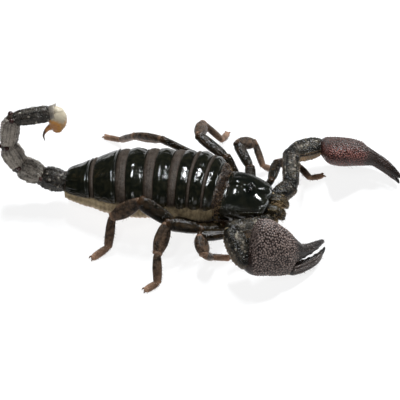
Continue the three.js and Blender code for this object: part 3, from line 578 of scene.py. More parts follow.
def ridge(form, aim, width, height, bead=0.0, reach=(0.04, 0.96), seed=0):
    """Raises a keel along a limb at the aimed angle, beaded where a bead length is given."""
    t, place = form["t"], form["reach"]
    fade = smooth(reach[0], reach[0] + 0.1, t) * smooth(-reach[1], 0.1 - reach[1], -t)
    crest = hill(form.off(aim) * form["girth"], 0, width) * fade
    if bead:
        wobble = noise(np.column_stack([place, place * 0 + aim, place * 0]), bead * 3, seed)
        beat = np.abs(np.sin(PI * place / bead + 1.2 * wobble)) ** 0.7
        crest = crest * (0.45 + 0.55 * beat)
    form.raise_by(crest * height)
    form["grain"] = np.maximum(form.value("grain"), np.clip(crest, 0, 1))


def weather(form, size, amount, seed):
    """Slight unevenness that breaks up long reflections."""
    return form.raise_by(noise(form.points, size, seed) * amount)


def piece(name, form, finish, slot, *nodes):
    """Makes a form a piece of the object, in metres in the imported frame."""
    mesh = bpy.data.meshes.new(name)
    mesh.vertices.add(len(form.points))
    mesh.vertices.foreach_set("co", ((form.points + SHIFT) * MM).ravel())
    corners = np.concatenate([form.quads.ravel(), form.tris.ravel()])
    totals = np.concatenate([np.full(len(form.quads), 4), np.full(len(form.tris), 3)])
    mesh.loops.add(len(corners))
    mesh.loops.foreach_set("vertex_index", corners.astype(np.int32))
    mesh.polygons.add(len(totals))
    mesh.polygons.foreach_set("loop_start", (np.cumsum(totals) - totals).astype(np.int32))
    mesh.update(calc_edges=True)
    mesh.validate()
    mesh.shade_smooth()
    for key, default in (("grain", 0.0), ("tint", EVEN_TINT), ("tone", 0.0)):
        values = form.value(key, default)
        mesh.attributes.new(key, "FLOAT", "POINT").data.foreach_set("value", values.astype(np.float32))
    if form.patches is not None:
        layer = mesh.uv_layers.new(name="OFBake")
        layer.data.foreach_set("uv", form.patches[corners].ravel())
    mesh.materials.append(finish)
    made = linked(name, mesh)
    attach(made, "root")
    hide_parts(*nodes)


# ---------------------------------------------------------------- finishes
def tone(red, green, blue):
    """A colour given as display values from 0 to 255."""
    shares = [value / 255 for value in (red, green, blue)]
    light = [share / 12.92 if share < 0.04 else ((share + 0.055) / 1.055) ** 2.4 for share in shares]
    return (*light, 1.0)


class Wire:
    """A node's output; numbers on wires take part in plain arithmetic."""

    def __init__(self, finish, socket):
        self.finish, self.socket = finish, socket

    def maths(self, operation, *values):
        return self.finish.node("ShaderNodeMath", {"operation": operation}, *values)

    def __add__(self, other):
        return self.maths("ADD", self, other)

    def __mul__(self, other):
        return self.maths("MULTIPLY", self, other)

    def __sub__(self, other):
        return self.maths("SUBTRACT", self, other)

    def __rsub__(self, other):
        return self.maths("SUBTRACT", other, self)

    __radd__ = __add__
    __rmul__ = __mul__

    def limit(self, low=0.0, high=1.0):
        return self.maths("MINIMUM", self.maths("MAXIMUM", self, low), high)


class Finish:
    """A material and the nodes that make it."""

    def __init__(self, name):
        self.material = bpy.data.materials.new(name)
        self.material.use_nodes = True
        self.tree = self.material.node_tree
        self.tree.nodes.clear()
        self.place = self.node("ShaderNodeTexCoord", {}, out="Object")

    def node(self, kind, settings, *values, out=0, **named):
        node = self.tree.nodes.new(kind)
        for key, setting in settings.items():
            setattr(node, key, setting)
        sockets = list(enumerate(values)) + [(key.replace("_", " "), value) for key, value in named.items()]
        self.feed(node, sockets)
        return Wire(self, node.outputs[out]) if len(node.outputs) else None

    def feed(self, node, sockets):
        for key, value in sockets:
            if isinstance(value, Wire):
                self.tree.links.new(value.socket, node.inputs[key])
            elif value is not None:
                node.inputs[key].default_value = value

    def noise(self, size, detail=3.0, stretch=None):
        """Soft noise; size in millimetres."""
        place = self.place
        if stretch is not None:
            place = self.node("ShaderNodeMapping", {}, place, Scale=stretch)
        return self.node("ShaderNodeTexNoise", {}, Vector=place, Scale=1 / (size * MM), Detail=detail,
                         Roughness=0.55)

    def cells(self, size):
        return self.node("ShaderNodeTexVoronoi", {}, out="Distance", Vector=self.place,
                         Scale=1 / (size * MM))

    def kept(self, name):
        """A value kept at every point of the piece."""
        return self.node("ShaderNodeAttribute", {"attribute_type": "GEOMETRY", "attribute_name": name},
                         out="Fac")

    def mix(self, factor, a, b):
        """Mix of two colours: sockets 0, 6 and 7 are the factor and the colours, output 2 the colour."""
        node = self.tree.nodes.new("ShaderNodeMix")
        node.data_type = "RGBA"
        self.feed(node, ((0, factor), (6, a), (7, b)))
        return Wire(self, node.outputs[2])

    def steps(self, value, low, high):
        return self.node("ShaderNodeMapRange", {"interpolation_type": "SMOOTHSTEP"}, value, low, high, 0.0,
                         1.0)

    def bump(self, height, distance, below=None):
        """Fine relief; distance in millimetres."""
        return self.node("ShaderNodeBump", {}, Strength=1.0, Distance=distance * MM, Height=height,
                         Normal=below)

    def shade(self, **sockets):
        surface = self.node("ShaderNodeBsdfPrincipled", {}, **sockets)
        self.node("ShaderNodeOutputMaterial", {}, Surface=surface)
        return self.material


def cuticle(name, gap, base, pale, rough, far=None, coat=0.02, specular=0.4, pits=0.05, mottle=3.0,
            speckle=0.25, bumps=0.06, bump_size=0.8, across=None, depth=0.5, vary=0.5, painted_glints=0.0,
            fade=0.0):
    """Hard skin: a mottled base, the gap colour between granules, pale on top, far where tone says.

    vary says how much of pale the mottling has, depth how much of gap shows, speckle how many granules are
    pale, the glint share how many granules get painted glints, whole pale tops standing in for highlights,
    fade how much tone hides them. mottle and bump_size are sizes in millimetres, and
    pits and bumps are heights.
    """
    gap, base, pale = (tone(*colour) for colour in (gap, base, pale))
    f = Finish(name)
    grain, tint = f.kept("grain"), f.kept("tint")
    clouds = f.noise(mottle, 4.0)
    fine = f.noise(0.35)
    colour = f.mix(f.steps(clouds, 0.32, 0.72), base, f.mix(vary, base, pale))
    if far is not None:
        colour = f.mix((f.kept("tone") + (clouds - 0.5) * 0.35).limit(), colour, tone(*far))
    shown = 1 - f.kept("tone") * fade
    top = f.mix(((tint + fine) * shown * speckle).limit(), colour, pale)
    # painted glints: a share of granules, picked by their tint, get their whole tops painted pale as
    # highlights
    if painted_glints:
        top = f.mix(f.steps(tint, 1 - painted_glints, 1.05 - painted_glints) * 0.75, top, pale)
    low = f.mix(f.steps(fine, 0.2, 0.62) * depth, colour, gap)
    colour = f.mix(f.steps(grain, 0.08, 0.6), low, top)
    roughness = (f.steps(clouds, 0.25, 0.75) * 0.5 + fine * 0.5) * (rough[1] - rough[0]) + rough[0]
    relief = f.bump(f.cells(0.22), pits)
    relief = f.bump(f.noise(bump_size, stretch=across), bumps, below=relief)
    return f.shade(Base_Color=colour, Roughness=roughness, Normal=relief, Coat_Weight=coat,
                   Coat_Roughness=0.12, IOR=1.4, Specular_IOR_Level=specular)


def soft_skin(name, dark, base, pale, side=None):
    """Soft membrane between the plates, finely folded, with painted shade in the fold hollows."""
    dark, base, pale = (tone(*colour) for colour in (dark, base, pale))
    f = Finish(name)
    clouds = f.noise(2.2, 4.0)
    folds = f.noise(0.55, 4.0, stretch=(1, 1, 1.6))
    colour = f.mix(f.steps(clouds, 0.3, 0.7), base, f.mix(0.03, base, pale))
    if side is not None:
        colour = f.mix(f.kept("grain"), colour, f.mix(f.steps(clouds, 0.35, 0.7) * 0.5, tone(*side), base))
    colour = f.mix(f.kept("tone").limit(), colour, pale)
    # painted shade: the dark colour fills the hollows of the folds, less on the pleura where grain is high
    colour = f.mix(f.steps(folds, 0.58, 0.32) * (0.7 - 0.5 * f.kept("grain")), colour, dark)
    relief = f.bump(f.cells(0.16), 0.03, below=f.bump(folds, 0.2))
    return f.shade(Base_Color=colour, Roughness=folds * 0.2 + 0.42, Normal=relief, Specular_IOR_Level=0.16)


def vesicle_finish():
    """Sting bulb: cream above, amber and rust below, a dark sting."""
    cream, amber, rust, dark = tone(180, 170, 148), tone(188, 130, 54), tone(150, 100, 56), tone(62, 42, 32)
    f = Finish("vesicle_cuticle")
    level = f.kept("tone")
    clouds = f.noise(1.4, 4.0)
    fine = f.noise(0.3)
    shade = (level + (clouds - 0.5) * 0.3).limit()
    colour = f.mix(f.steps(shade, 0.12, 0.42), cream, amber)
    colour = f.mix(f.steps(shade, 0.4, 0.72), colour, rust)
    colour = f.mix(f.steps(level, 0.72, 0.95), colour, dark)
    colour = f.mix(f.steps(clouds, 0.52, 0.72) * f.steps(shade, 0.2, 0.4) * 0.45, colour, rust)
    colour = f.mix(f.steps(fine, 0.5, 0.75) * 0.45, colour, rust)
    return f.shade(Base_Color=colour, Roughness=fine * 0.2 + 0.25, Normal=f.bump(fine, 0.12),
                   Coat_Weight=0.1, Coat_Roughness=0.15, Specular_IOR_Level=0.3)


def plain_finish(name, dark, pale, rough, coat=0.0):
    f = Finish(name)
    clouds = f.noise(0.5)
    colour = f.mix(f.steps(clouds, 0.3, 0.7), tone(*dark), tone(*pale))
    return f.shade(Base_Color=colour, Roughness=clouds * 0.1 + rough, Normal=f.bump(clouds, 0.02),
                   Coat_Weight=coat, Coat_Roughness=0.08)


SHELL = cuticle("shell_cuticle", (6, 7, 4), (10, 13, 9), (44, 42, 28), (0.06, 0.16), (62, 52, 32),
                specular=0.5, bumps=0.09, pits=0.01, across=(1, 0.3, 0.5), mottle=2.0, vary=0.4)
SHIELD = cuticle("shield_cuticle", (6, 7, 4), (9, 13, 10), (34, 34, 24), (0.07, 0.15), (50, 43, 26),
                 specular=0.5, bumps=0.07, bump_size=1.2, pits=0.006, mottle=3.5)
BELLY = cuticle("belly_cuticle", (98, 80, 62), (190, 168, 146), (214, 198, 178), (0.28, 0.42),
                (192, 172, 150), coat=0.25)
SKIN = soft_skin("soft_skin", (16, 11, 7), (41, 32, 22), (248, 222, 206), side=(160, 142, 110))
NECK = cuticle("neck_cuticle", (7, 4, 3), (27, 15, 10), (120, 96, 74), (0.14, 0.34), (170, 146, 108),
               specular=0.3, speckle=0.12, mottle=1.2, depth=0.9, bumps=0.3, vary=0.3, painted_glints=0.12)
JOINT = soft_skin("joint_skin", (48, 36, 26), (124, 112, 88), (150, 134, 110))
ARM = cuticle("arm_cuticle", (3, 3, 2), (8, 8, 5), (130, 122, 108), (0.06, 0.18), (160, 132, 98),
              specular=0.28, bumps=0.42, bump_size=0.7, speckle=0.04, depth=0.9, vary=0.2, painted_glints=0.14)
PALM_SKIN = cuticle("palm_cuticle", (10, 5, 4), (50, 34, 30), (152, 134, 126), (0.16, 0.34), (34, 34, 32),
                    coat=0.03, specular=0.36, speckle=0.54, bumps=0.1, fade=0.65, depth=0.9)
FAR_PALM_SKIN = cuticle("far_palm_cuticle", (12, 4, 3), (64, 29, 23), (146, 98, 90), (0.16, 0.34),
                        (57, 54, 50), specular=0.32, speckle=0.5, bumps=0.1, fade=0.75, depth=0.9)
LEG = cuticle("leg_cuticle", (6, 5, 2), (11, 10, 7), (62, 50, 34), (0.06, 0.18), (88, 60, 38),
              specular=0.22, bumps=0.16, bump_size=0.6, mottle=2.2, vary=0.4, speckle=0.06)
FOOT = cuticle("foot_cuticle", (16, 11, 6), (24, 19, 14), (88, 70, 54), (0.18, 0.4), (186, 146, 118),
               specular=0.22, bumps=0.3, bump_size=0.6, mottle=1.7, vary=0.6, depth=0.4, speckle=0.2)
TAIL = cuticle("tail_cuticle", (10, 8, 5), (30, 26, 20), (176, 168, 156), (0.12, 0.34), (168, 158, 146),
               specular=0.3, bumps=0.5, bump_size=0.6, speckle=0.2)
DARK_TAIL = cuticle("dark_tail_cuticle", (4, 4, 2), (9, 8, 6), (156, 148, 136), (0.05, 0.13),
                    (96, 88, 78), specular=0.33, bumps=0.42, bump_size=0.7, speckle=0.07, depth=0.9,
                    vary=0.15, painted_glints=0.09)
KNOB = cuticle("tail_knob_cuticle", (14, 6, 5), (44, 20, 17), (96, 62, 54), (0.14, 0.3), coat=0.05)
RIM = cuticle("rim_cuticle", (60, 54, 46), (96, 90, 82), (170, 160, 146), (0.3, 0.46), (176, 166, 150),
              coat=0.2)
VESICLE = vesicle_finish()
MOUTH = cuticle("mouth_cuticle", (5, 4, 3), (8, 8, 5), (140, 124, 90), (0.08, 0.24), (58, 47, 30),
                specular=0.2, bumps=0.35, mottle=1.6, vary=0.2, depth=0.8, speckle=0.08, painted_glints=0.14)
UNDER = cuticle("under_cuticle", (40, 28, 17), (110, 88, 60), (160, 140, 108), (0.26, 0.42),
                (176, 154, 118), coat=0.1)
COMB = cuticle("comb_cuticle", (70, 54, 38), (128, 108, 82), (170, 152, 124), (0.4, 0.55), coat=0.1)
EYE = plain_finish("eye_gloss", (5, 5, 6), (12, 11, 12), 0.03, coat=1.0)
TOE_CLAW = plain_finish("toe_claw_horn", (92, 62, 42), (132, 98, 72), 0.42)
TOOTH = plain_finish("tooth_horn", (12, 9, 8), (30, 24, 20), 0.22, coat=0.4)
BRISTLE = plain_finish("bristle", (62, 40, 24), (104, 72, 44), 0.4)
PALE_BRISTLE = plain_finish("pale_bristle", (122, 96, 62), (164, 138, 98), 0.45)


# ---------------------------------------------------------------- bristles
class Hairs:
    """Tapered bristles of one region, gathered and then made one piece."""

    TILES = 8                         # the bristles of each form lie in one tile of the map
    LEVELS = ((0.0, 1.0), (0.4, 0.8), (0.75, 0.5))     # place along a bristle, and share of its radius
    SINK, DROOP = 0.08, 0.22
    PATCH = np.array([(0.0015 * k, 0.001 * row) for row in range(3) for k in range(3)]
                     + [(0.0015, 0.003), (0.0015, 0.0)])

    def __init__(self):
        self.forms, self.patches = [], []

    def grow(self, form, count, lengths, weight, seed, lean=0.5, radius=0.055):
        """Roots bristles in a form, likeliest where weight is high, leaning along it."""
        rng = np.random.default_rng(seed)
        weight = np.clip(np.broadcast_to(weight, len(form.points)), 0, None) + 1e-9
        picks = rng.choice(len(form.points), count, p=weight / weight.sum())
        normal = form.normals()[picks]
        onward = np.asarray(form.way)
        leaning = onward * lean * rng.uniform(0.6, 1.3, (count, 1))
        way = unit(normal + leaning + rng.normal(0, 0.16, (count, 3)))
        length = rng.uniform(*lengths, count)
        droop = unit(onward * 0.8 - normal * 0.3 + rng.normal(0, 0.2, (count, 3)))
        thick = radius * rng.uniform(0.75, 1.15, count)
        aside = unit(np.cross(way, droop + 1e-3))
        root = form.points[picks] - normal * self.SINK
        centres = [root + way * (length * s)[:, None] + droop * (length * self.DROOP * s * s)[:, None]
                   for s, _ in self.LEVELS]
        tips = root + way * length[:, None] + droop * (length * self.DROOP)[:, None]
        sizes = [thick * slim for _, slim in self.LEVELS]
        bristles = spikes(centres, sizes, aside, np.cross(way, aside), tips, root, 3)
        bristles.keep_above(0.05)
        tile = divmod(len(self.forms), self.TILES)[::-1]
        spot = np.column_stack([form.value("turn")[picks] / (2 * PI), form.value("t")[picks]])
        spot = (np.array(tile) + 0.08 + 0.84 * np.clip(spot, 0, 1)) / self.TILES
        self.forms.append(bristles)
        self.patches.append((spot[:, None] + self.PATCH[None]).reshape(-1, 2))

    def make(self, name, finish, slot, *nodes):
        form = join(self.forms)
        form.patches = np.concatenate(self.patches)
        piece(name, form, finish, slot, *nodes)


# ---------------------------------------------------------------- trunk
def on_trunk(x, top, lift):
    """Point of the trunk: place along it, angle from its top towards the left, height over its surface."""
    y = (along(TRUNK_WIDTH, x) + lift) * power(np.sin(top), 2 / TRUNK_SQUARENESS)
    z = (along(TRUNK_DEPTH, x) + lift) * power(np.cos(top), 2 / TRUNK_SQUARENESS)
    return off_line(x, y, along(TRUNK_HEIGHT, x) + z)


def bowed(x, top, way=1):
    """Place along the trunk of a ring of plates, whose sides reach forward of the middle."""
    reach = PLATE_BOW * smooth(-45.5, -36, x) * smooth(23, 15, x)
    return x + way * reach * np.sin(np.minimum(np.abs(top), PI / 2)) ** 2


def doubled(over, under):
    """Values of a sheet's upper face, then of its lower face run back."""
    return np.concatenate([over, under[:, ::-1]], 1)


def trunk_plate(rear, front, middle, half, rise, thickness, rows, columns, relief):
    """A curved plate on the trunk, closed below, with round edges. relief adds its own shape."""
    s, v = grid(0.5 - 0.5 * np.cos(np.linspace(0, PI, rows)), np.linspace(-1, 1, columns))
    corner = 1 - 0.07 * np.abs(2 * s - 1) ** 8
    top = middle + v * half * corner
    x = bowed(rear + (front - rear) * s, top)
    across = along(TRUNK_WIDTH, x)
    edge = rounded(np.minimum(s, 1 - s) * (front - rear) + 0.01, 0.4)
    edge = edge * rounded((1 - np.abs(v)) * half * across + 0.01, 0.7)
    crown = SKIN_SINK + along(rise, s) + relief(s, v, across * np.sin(v * half))
    mid = crown - thickness / 2
    over = on_trunk(x, top, mid + edge * thickness / 2)
    under = on_trunk(x, top, mid - edge * thickness / 2)
    return loft(doubled(over, under), s=doubled(s, s), v=doubled(v, v), face=doubled(v * 0 + 1, v * 0))


def back_relief(number, length, s, v, y):
    """Crest, groove, dents and rolled hems of a back plate; keels on the last one."""
    side = np.abs(v)
    crest = 0.12 * hill(y, 0, 0.7) * smooth(0.95, 0.6, s)
    groove = -0.24 * hill(s * length, 0.86 * length, 0.25)
    dents = -0.2 * hill(side, 0.42, 0.13) * hill(s, 0.5, 0.25)
    hem = 0.08 * hill(s * length, 0.45, 0.22) + 0.26 * hill(s * length, length - 0.42, 0.2)
    grooves = 0.06 * np.sin(62 * v + 5 * np.sin(9 * s)) * smooth(0.45, 0.9, side) * (number > 5)
    keels = 0.22 * (hill(side, 0.3, 0.025) + hill(side, 0.66, 0.025)) * smooth(0.75, 0.4, s)
    return crest + groove + dents + hem + grooves + (keels if number == len(BACK_PLATES) else 0)


def make_back_plates():
    for number, (rear, front) in enumerate(BACK_PLATES, 1):
        length = front - rear
        rise = REAR_RISE if number > 5 else BACK_RISE
        rows = max(int(length / BACK_ROW_STEP), BACK_LEAST_ROWS)
        form = trunk_plate(rear, front, 0.0, BACK_HALF_ANGLE, rise, BACK_THICKNESS, rows, BACK_COLUMNS,
                           functools.partial(back_relief, number, length))
        s, side = form["s"], np.abs(form["v"])
        weather(form, 3.4, 0.08, 40 + number)
        streaks = 0.05 if number < 4 else 0.028
        streaked = streaks * noise(form.points * [1, 0.12, 0.25], 0.7, 47)
        form.raise_by(streaked + 0.045 * noise(form.points, 1.2, 48))
        flank = smooth(0.45, 0.95, side)
        cover = form["face"] * np.clip(smooth(0.4, 0.02, s) * (0.4 + 0.6 * flank) + flank * 0.8, 0, 1)
        cover = cover * smooth(0.0, 0.05, s) * smooth(0.84, 0.7, s) * smooth(1.0, 0.97, side)
        granulate(form, 0.46, 0.085, 60 + number, cover)
        form["tone"] = smooth(0.8, 1.0, side) * 0.9
        piece(f"back_plate_{number}", form, SHELL, "shell", f"mesosoma_{number}")


def belly_relief(number, s, v, _):
    """A breathing slit with its lip on each side, and two shallow folds."""
    side = np.abs(v)
    slit = hill(s, 0.45, 0.035) * hill(side, 0.62, 0.07)
    lip = hill(s, 0.53, 0.05) * hill(side, 0.62, 0.1)
    breath = (0.12 * lip - 0.35 * slit) if number < 7 else 0
    return breath + 0.05 * hill(s, 0.04, 0.04) - 0.06 * hill(side, 0.25, 0.05) * hill(s, 0.4, 0.3)


def make_belly_plates():
    for number, (rear, front) in enumerate(BELLY_PLATES, 3):
        form = trunk_plate(rear, front, PI, BELLY_HALF_ANGLE, BELLY_RISE, BELLY_THICKNESS, BELLY_ROWS,
                           BELLY_COLUMNS, functools.partial(belly_relief, number))
        weather(form, 2.0, 0.03, 80 + number)
        form["tone"] = smooth(0.6, 1.0, np.abs(form["v"]))
        nodes = [f"mesosoma_{min(number, 7)}"] + (["mesosoma_2"] if number == 3 else [])
        piece(f"belly_plate_{number}", form, BELLY, "underside", *nodes)


def under_plates(plates, x, cover):
    """How far each point lies under one of the plates, whose cover is known round the trunk."""
    hidden = np.zeros_like(x)
    for rear, front in plates:
        inside = smooth(rear - 0.05, rear + 0.6, x) * smooth(front + 0.05, front - 0.6, x)
        hidden = np.maximum(hidden, inside * cover)
    return hidden


def swells(spans, x, wider):
    """Round swellings along x, one on each span."""
    total = np.zeros_like(x)
    for rear, front in spans:
        reach = np.clip(np.abs(x - (rear + front) / 2) / (abs(front - rear) / 2 + wider), 0, 1)
        total = np.maximum(total, np.sqrt(1 - reach**2))
    return total


def make_trunk_skin():
    """The soft skin round the trunk, sunk under each plate, folded between and beside them."""
    share = np.linspace(0, 1, SKIN_COLUMNS)
    half = np.interp(share, [0, 0.22, 0.8, 1], np.radians([0, 68, 136, 180]))      # finer on the flanks
    x, top = grid(np.linspace(-45.45, 22.0, SKIN_ROWS), np.concatenate([-half[::-1], half[1:-1]]))
    flat = np.stack([x, top * 14, x * 0], -1).reshape(-1, 3)
    warp = noise(flat, 3.0, 5).reshape(x.shape)
    rough = noise(flat * [1.0, 1.6, 1], 0.9, 6).reshape(x.shape)
    tilt = np.abs(top)

    def tilted(low, high):
        return smooth(math.radians(low), math.radians(high), tilt)

    plate_x = bowed(x, top, -1)
    pleura = tilted(68, 80) * tilted(140, 126)
    segment = swells(BACK_PLATES, plate_x, 1.2)
    gap = swells([(rear, front) for (rear, _), (_, front) in zip(BACK_PLATES, BACK_PLATES[1:])], plate_x, 0)
    bulge = np.sin(np.clip((tilt - math.radians(72)) / math.radians(62), 0, 1) * PI)
    bulge = bulge * (0.1 + 0.55 * segment)
    ribs = 0.13 * np.sin(x * 3.1 + 2.2 * warp) * pleura
    wrinkles = 0.13 * np.sin(tilt * 24 + 1.8 * warp) * pleura * smooth(-5, -28, x)
    lift = SKIN_SINK - 0.12 + bulge + ribs + wrinkles + 0.1 * rough
    below = PI - BELLY_HALF_ANGLE
    hidden = np.maximum(
        under_plates(BACK_PLATES, plate_x, smooth(BACK_HALF_ANGLE + 0.02, BACK_HALF_ANGLE - 0.06, tilt)),
        under_plates(BELLY_PLATES, plate_x, smooth(below - 0.02, below + 0.06, tilt)))
    gap_folds = (0.82 * gap + 0.03 * np.sin(x * 5.2 + 2.5 * warp) - 0.2) * (1 - pleura)
    lift = (lift + gap_folds) * (1 - hidden) - 1.0 * hidden
    low = tilted(96, 126)
    # painted shade: on the lower flank towards the head, grain drops, so the pale side colour gives way to
    # the dark base and more painted fold shade
    shaded = tilted(94, 110) * smooth(-8, 4, x)
    form = loft(on_trunk(x, top, lift), tone=low * smooth(6, -12, x) * 0.9 + 0.1 * low,
                grain=pleura * (1 - 0.75 * shaded))
    piece("trunk_skin", form, SKIN, "underside", *[f"mesosoma_{k}" for k in range(1, 8)])


# ---------------------------------------------------------------- head shield and eyes
def across_shield(rows, spread):
    """Distance from the shield's middle line, for rows from 0 to 1 and a spread from -1 to 1."""
    return along(SHIELD_WIDTH, SHIELD_REAR + (SHIELD_FRONT - SHIELD_REAR) * rows) * spread


def shield_height(x, y, to_front, to_side, to_rear, spread):
    """Height of the shield with its rolled border, cheeks, furrows, brows and side eye mounds."""
    side = np.abs(y)
    border = np.minimum(to_front, to_side)
    z = shield_surface(x, y) + 0.16 * hill(border, 0.5, 0.3) * smooth(-10, -6, x)
    z = z - 0.2 * hill(border, 1.15, 0.35) * smooth(-6, 0, x)
    z = z - 0.35 * hill(to_rear, 1.5, 0.45) * smooth(0.95, 0.6, np.abs(spread))
    z = z + 0.1 * hill(to_rear, 0.6, 0.4)
    crest = 2.4 + 0.5 * np.clip(x - 4, 0, 8)
    z = z + 0.4 * hill(side, crest, 2.6) * hill(x, 8.6, 3.6) - 0.5 * hill(y, 0, 0.8) * hill(x, 8.5, 3.0)
    z = z + 0.3 * hill(y, 3.4, 2.0) * hill(x, -4.2, 2.4) - 0.45 * hill(side, 7.6, 3.2) * hill(x, -2.0, 5.0)
    brow = hill(side, EYE_SPREAD - 0.62, 0.3) * hill(x, EYE_X, 0.95)
    z = z + 0.42 * brow - 0.25 * hill(y, 0, 0.22) * hill(x, EYE_X, 1.5)
    mounds = [np.exp(-((x - eye_x) ** 2 + (side - eye_y) ** 2) / 0.5) for eye_x, eye_y, _ in SIDE_EYES]
    z = z + 0.22 * np.maximum.reduce(mounds)
    return z - 0.6 * (1 - rounded(np.minimum(to_front, to_rear) + 0.02, 0.55))


def make_shield():
    row = np.linspace(0, 1, SHIELD_ROWS)
    rows, spread = grid(row, -np.cos(np.linspace(0, PI, SHIELD_COLUMNS)))
    width = across_shield(rows, 1.0)
    y = spread * 0.999 * width
    x = SHIELD_REAR + (shield_front(y) - SHIELD_REAR) * rows
    to_front, to_side, to_rear = shield_front(y) - x, (width - np.abs(y)) * 1.6, x - SHIELD_REAR
    over = in_head(x, y * 1.001, shield_height(x, y, to_front, to_side, to_rear, spread))
    rim_rows, rim = grid(row, np.cos(np.linspace(0, PI, SHIELD_UNDER_COLUMNS)))
    rim_y = across_shield(rim_rows, rim)
    rim_x = SHIELD_REAR + (shield_front(rim_y) - SHIELD_REAR) * rim_rows
    under = in_head(rim_x, rim_y * 0.985, SHIELD_EDGE_HEIGHT - 0.9 + 0.3 * (1 - np.abs(rim) ** 6))

    def kept(over_value, under_value):
        return np.concatenate([over_value, np.full(rim_x.shape, under_value)], 1)

    border = np.minimum(np.minimum(to_front, to_side), to_rear)
    form = loft(np.concatenate([over, under], 1), x=kept(x, 0), y=kept(np.abs(y) / width, 1),
                face=kept(x * 0 + 1, 0), border=kept(border, 0))
    weather(form, 6.0, 0.05, 21)
    flank = smooth(0.5, 0.85, form["y"])
    front = smooth(7.0, 10.5, form["x"]) * smooth(0.1, 0.35, form["y"])
    cover = form["face"] * np.clip(flank * 0.9 + front * 0.7, 0, 1) * smooth(0.05, 0.5, form["border"])
    granulate(form, 0.48, 0.11, 22, cover)
    form["tone"] = smooth(0.86, 1.0, form["y"]) * 0.5 * form["face"]
    piece("head_shield", form, SHIELD, "shell", "carapace")


def make_eyes():
    for side, sign in SIDES:
        piece(f"middle_eye_{side}", ball(eye_centre(sign), EYE_RADIUS), EYE, "eye", f"median_eye_{side}")
        small = [ball(in_head(x, sign * y, shield_surface(np.array(x), np.array(y)) + 0.12), radius, 10, 14)
                 for x, y, radius in SIDE_EYES]
        piece(f"side_eyes_{side}", join(small), EYE, "eye", "carapace")


def make_neck(hairs):
    """Rough soft fold between the first back plate and the head shield."""
    x = np.linspace(21.0, 26.4, NECK_ROWS)[:, None]
    t = smooth(21.9, 25.3, x)
    turn = circle(NECK_SIDES)
    y = (14.5 - 2.2 * t) * power(np.sin(turn), 2 / 2.4)
    z = (14.0 - 2.4 * t) + (8.9 - 2.4 * t) * power(np.cos(turn), 2 / 2.4)
    form = loft(off_line(x, y, z), t=t, turn=turn[None])
    form.way = in_head(1, 0, 0.3) - in_head(0, 0, 0)
    weather(form, 1.2, 0.35, 23)
    side, top = smooth(0.2, 0.7, np.abs(np.sin(form["turn"]))), np.cos(form["turn"])
    granulate(form, 0.62, 0.2, 24, 0.5 + 0.5 * side)
    low = side * smooth(0.55, 0.0, top) * smooth(-0.6, -0.2, top)
    form["tone"] = low * smooth(0.0, 0.5, noise(form.points * [1, 1, 0.5], 1.4, 25))
    piece("neck_fold", form, NECK, "shell", "carapace", "mesosoma_1")
    hairs.grow(form, 260, (0.5, 1.3), (0.25 + side) * smooth(0.05, 0.3, form["t"]), 26, 0.5, 0.05)


# ---------------------------------------------------------------- mouth pincers
MOUTH_BODY = [[0, 2.5, 2.5], [0.45, 2.95, 2.95], [0.8, 2.85, 2.9], [1, 2.3, 2.45]]
MOUTH_ROOT, MOUTH_KNUCKLE = (8.4, 3.1, 11.0), (15.9, 3.4, 10.7)
# Fixed and movable finger: points in the head's frame, and radii.
MOUTH_FINGERS = (
    ([(15.4, 2.3, 11.0), (16.9, 2.1, 10.5), (17.9, 2.2, 9.5), (18.4, 2.7, 8.2)], [1.7, 1.45, 1.0, 0.35]),
    ([(15.4, 4.4, 10.4), (16.9, 4.7, 9.8), (18.0, 4.3, 8.8), (18.5, 3.6, 7.7)], [1.65, 1.4, 0.95, 0.35]))
MOUTH_TEETH = ((0.3, 0.42), (0.45, 0.5), (0.6, 0.4), (0.74, 0.3))       # place along the finger, and size


def make_chelicera(side, sign, hairs):
    node = f"chelicera_{side}"
    body = limb(head_side(sign, *MOUTH_ROOT), head_side(sign, *MOUTH_KNUCKLE), UP, MOUTH_BODY, 60, 72,
                domes=(0.4, 0.6), squareness=2.3)
    for aim, height in ((2.2, 0.25), (2.9, 0.3), (3.6, 0.25), (4.3, 0.25)):
        ridge(body, aim, 0.3, height, 0.7, (0.3, 0.98), 31)
    weather(body, 1.5, 0.14, 31)
    t = body["t"]
    body["tone"] = smooth(0.45, 1.05, t) * (0.35 + 0.5 * noise(body.points * [0.4, 1.4, 1], 1.0, 30))
    granulate(body, 0.55, 0.1, 32, smooth(0.35, 0.8, t))
    fixed, moving = (bent_tube([head_side(sign, *point) for point in points], radii, 20, 40, True)
                     for points, radii in MOUTH_FINGERS)
    for form in (fixed, moving):
        weather(form, 1.2, 0.08, 30)
        form["tone"] = 0.25 + 0.55 * smooth(0, 0.4, form["t"]) - 0.8 * smooth(0.68, 0.85, form["t"])
    piece(f"mouth_pincer_{side}", join([body, fixed]), MOUTH, "mouthpart", node)
    piece(f"mouth_finger_{side}", moving, MOUTH, "mouthpart", node)
    teeth = []
    for place, size in MOUTH_TEETH:
        for form, towards in ((fixed, sign), (moving, -sign)):
            ring = np.where(np.abs(form["t"] - place) < 0.02)[0]
            way = unit(in_head(0, towards, -0.3) - in_head(0, 0, 0))
            root = form.points[ring].mean(0) + way * form["girth"][ring].mean() * 0.85
            teeth.append(beads([root], [way], size, size * 1.4))
    piece(f"mouth_teeth_{side}", join(teeth), TOOTH, "mouthpart", node)
    below = smooth(0.3, -0.6, body.up()) + smooth(0.55, 0.95, t) * 0.8
    inner = smooth(0.3, 0.8, t) * smooth(-0.2, 0.7, -sign * body.normals()[:, 1])
    hairs.grow(body, 120, (0.8, 1.7), below, 33, 1.1, 0.045)
    hairs.grow(body, 70, (1.2, 2.4), inner, 36, 1.2, 0.07)
    for form, seed in ((fixed, 34), (moving, 35)):
        hairs.grow(form, 60, (0.7, 1.4), smooth(0.85, 0.6, form["t"]), seed, 1.0, 0.045)


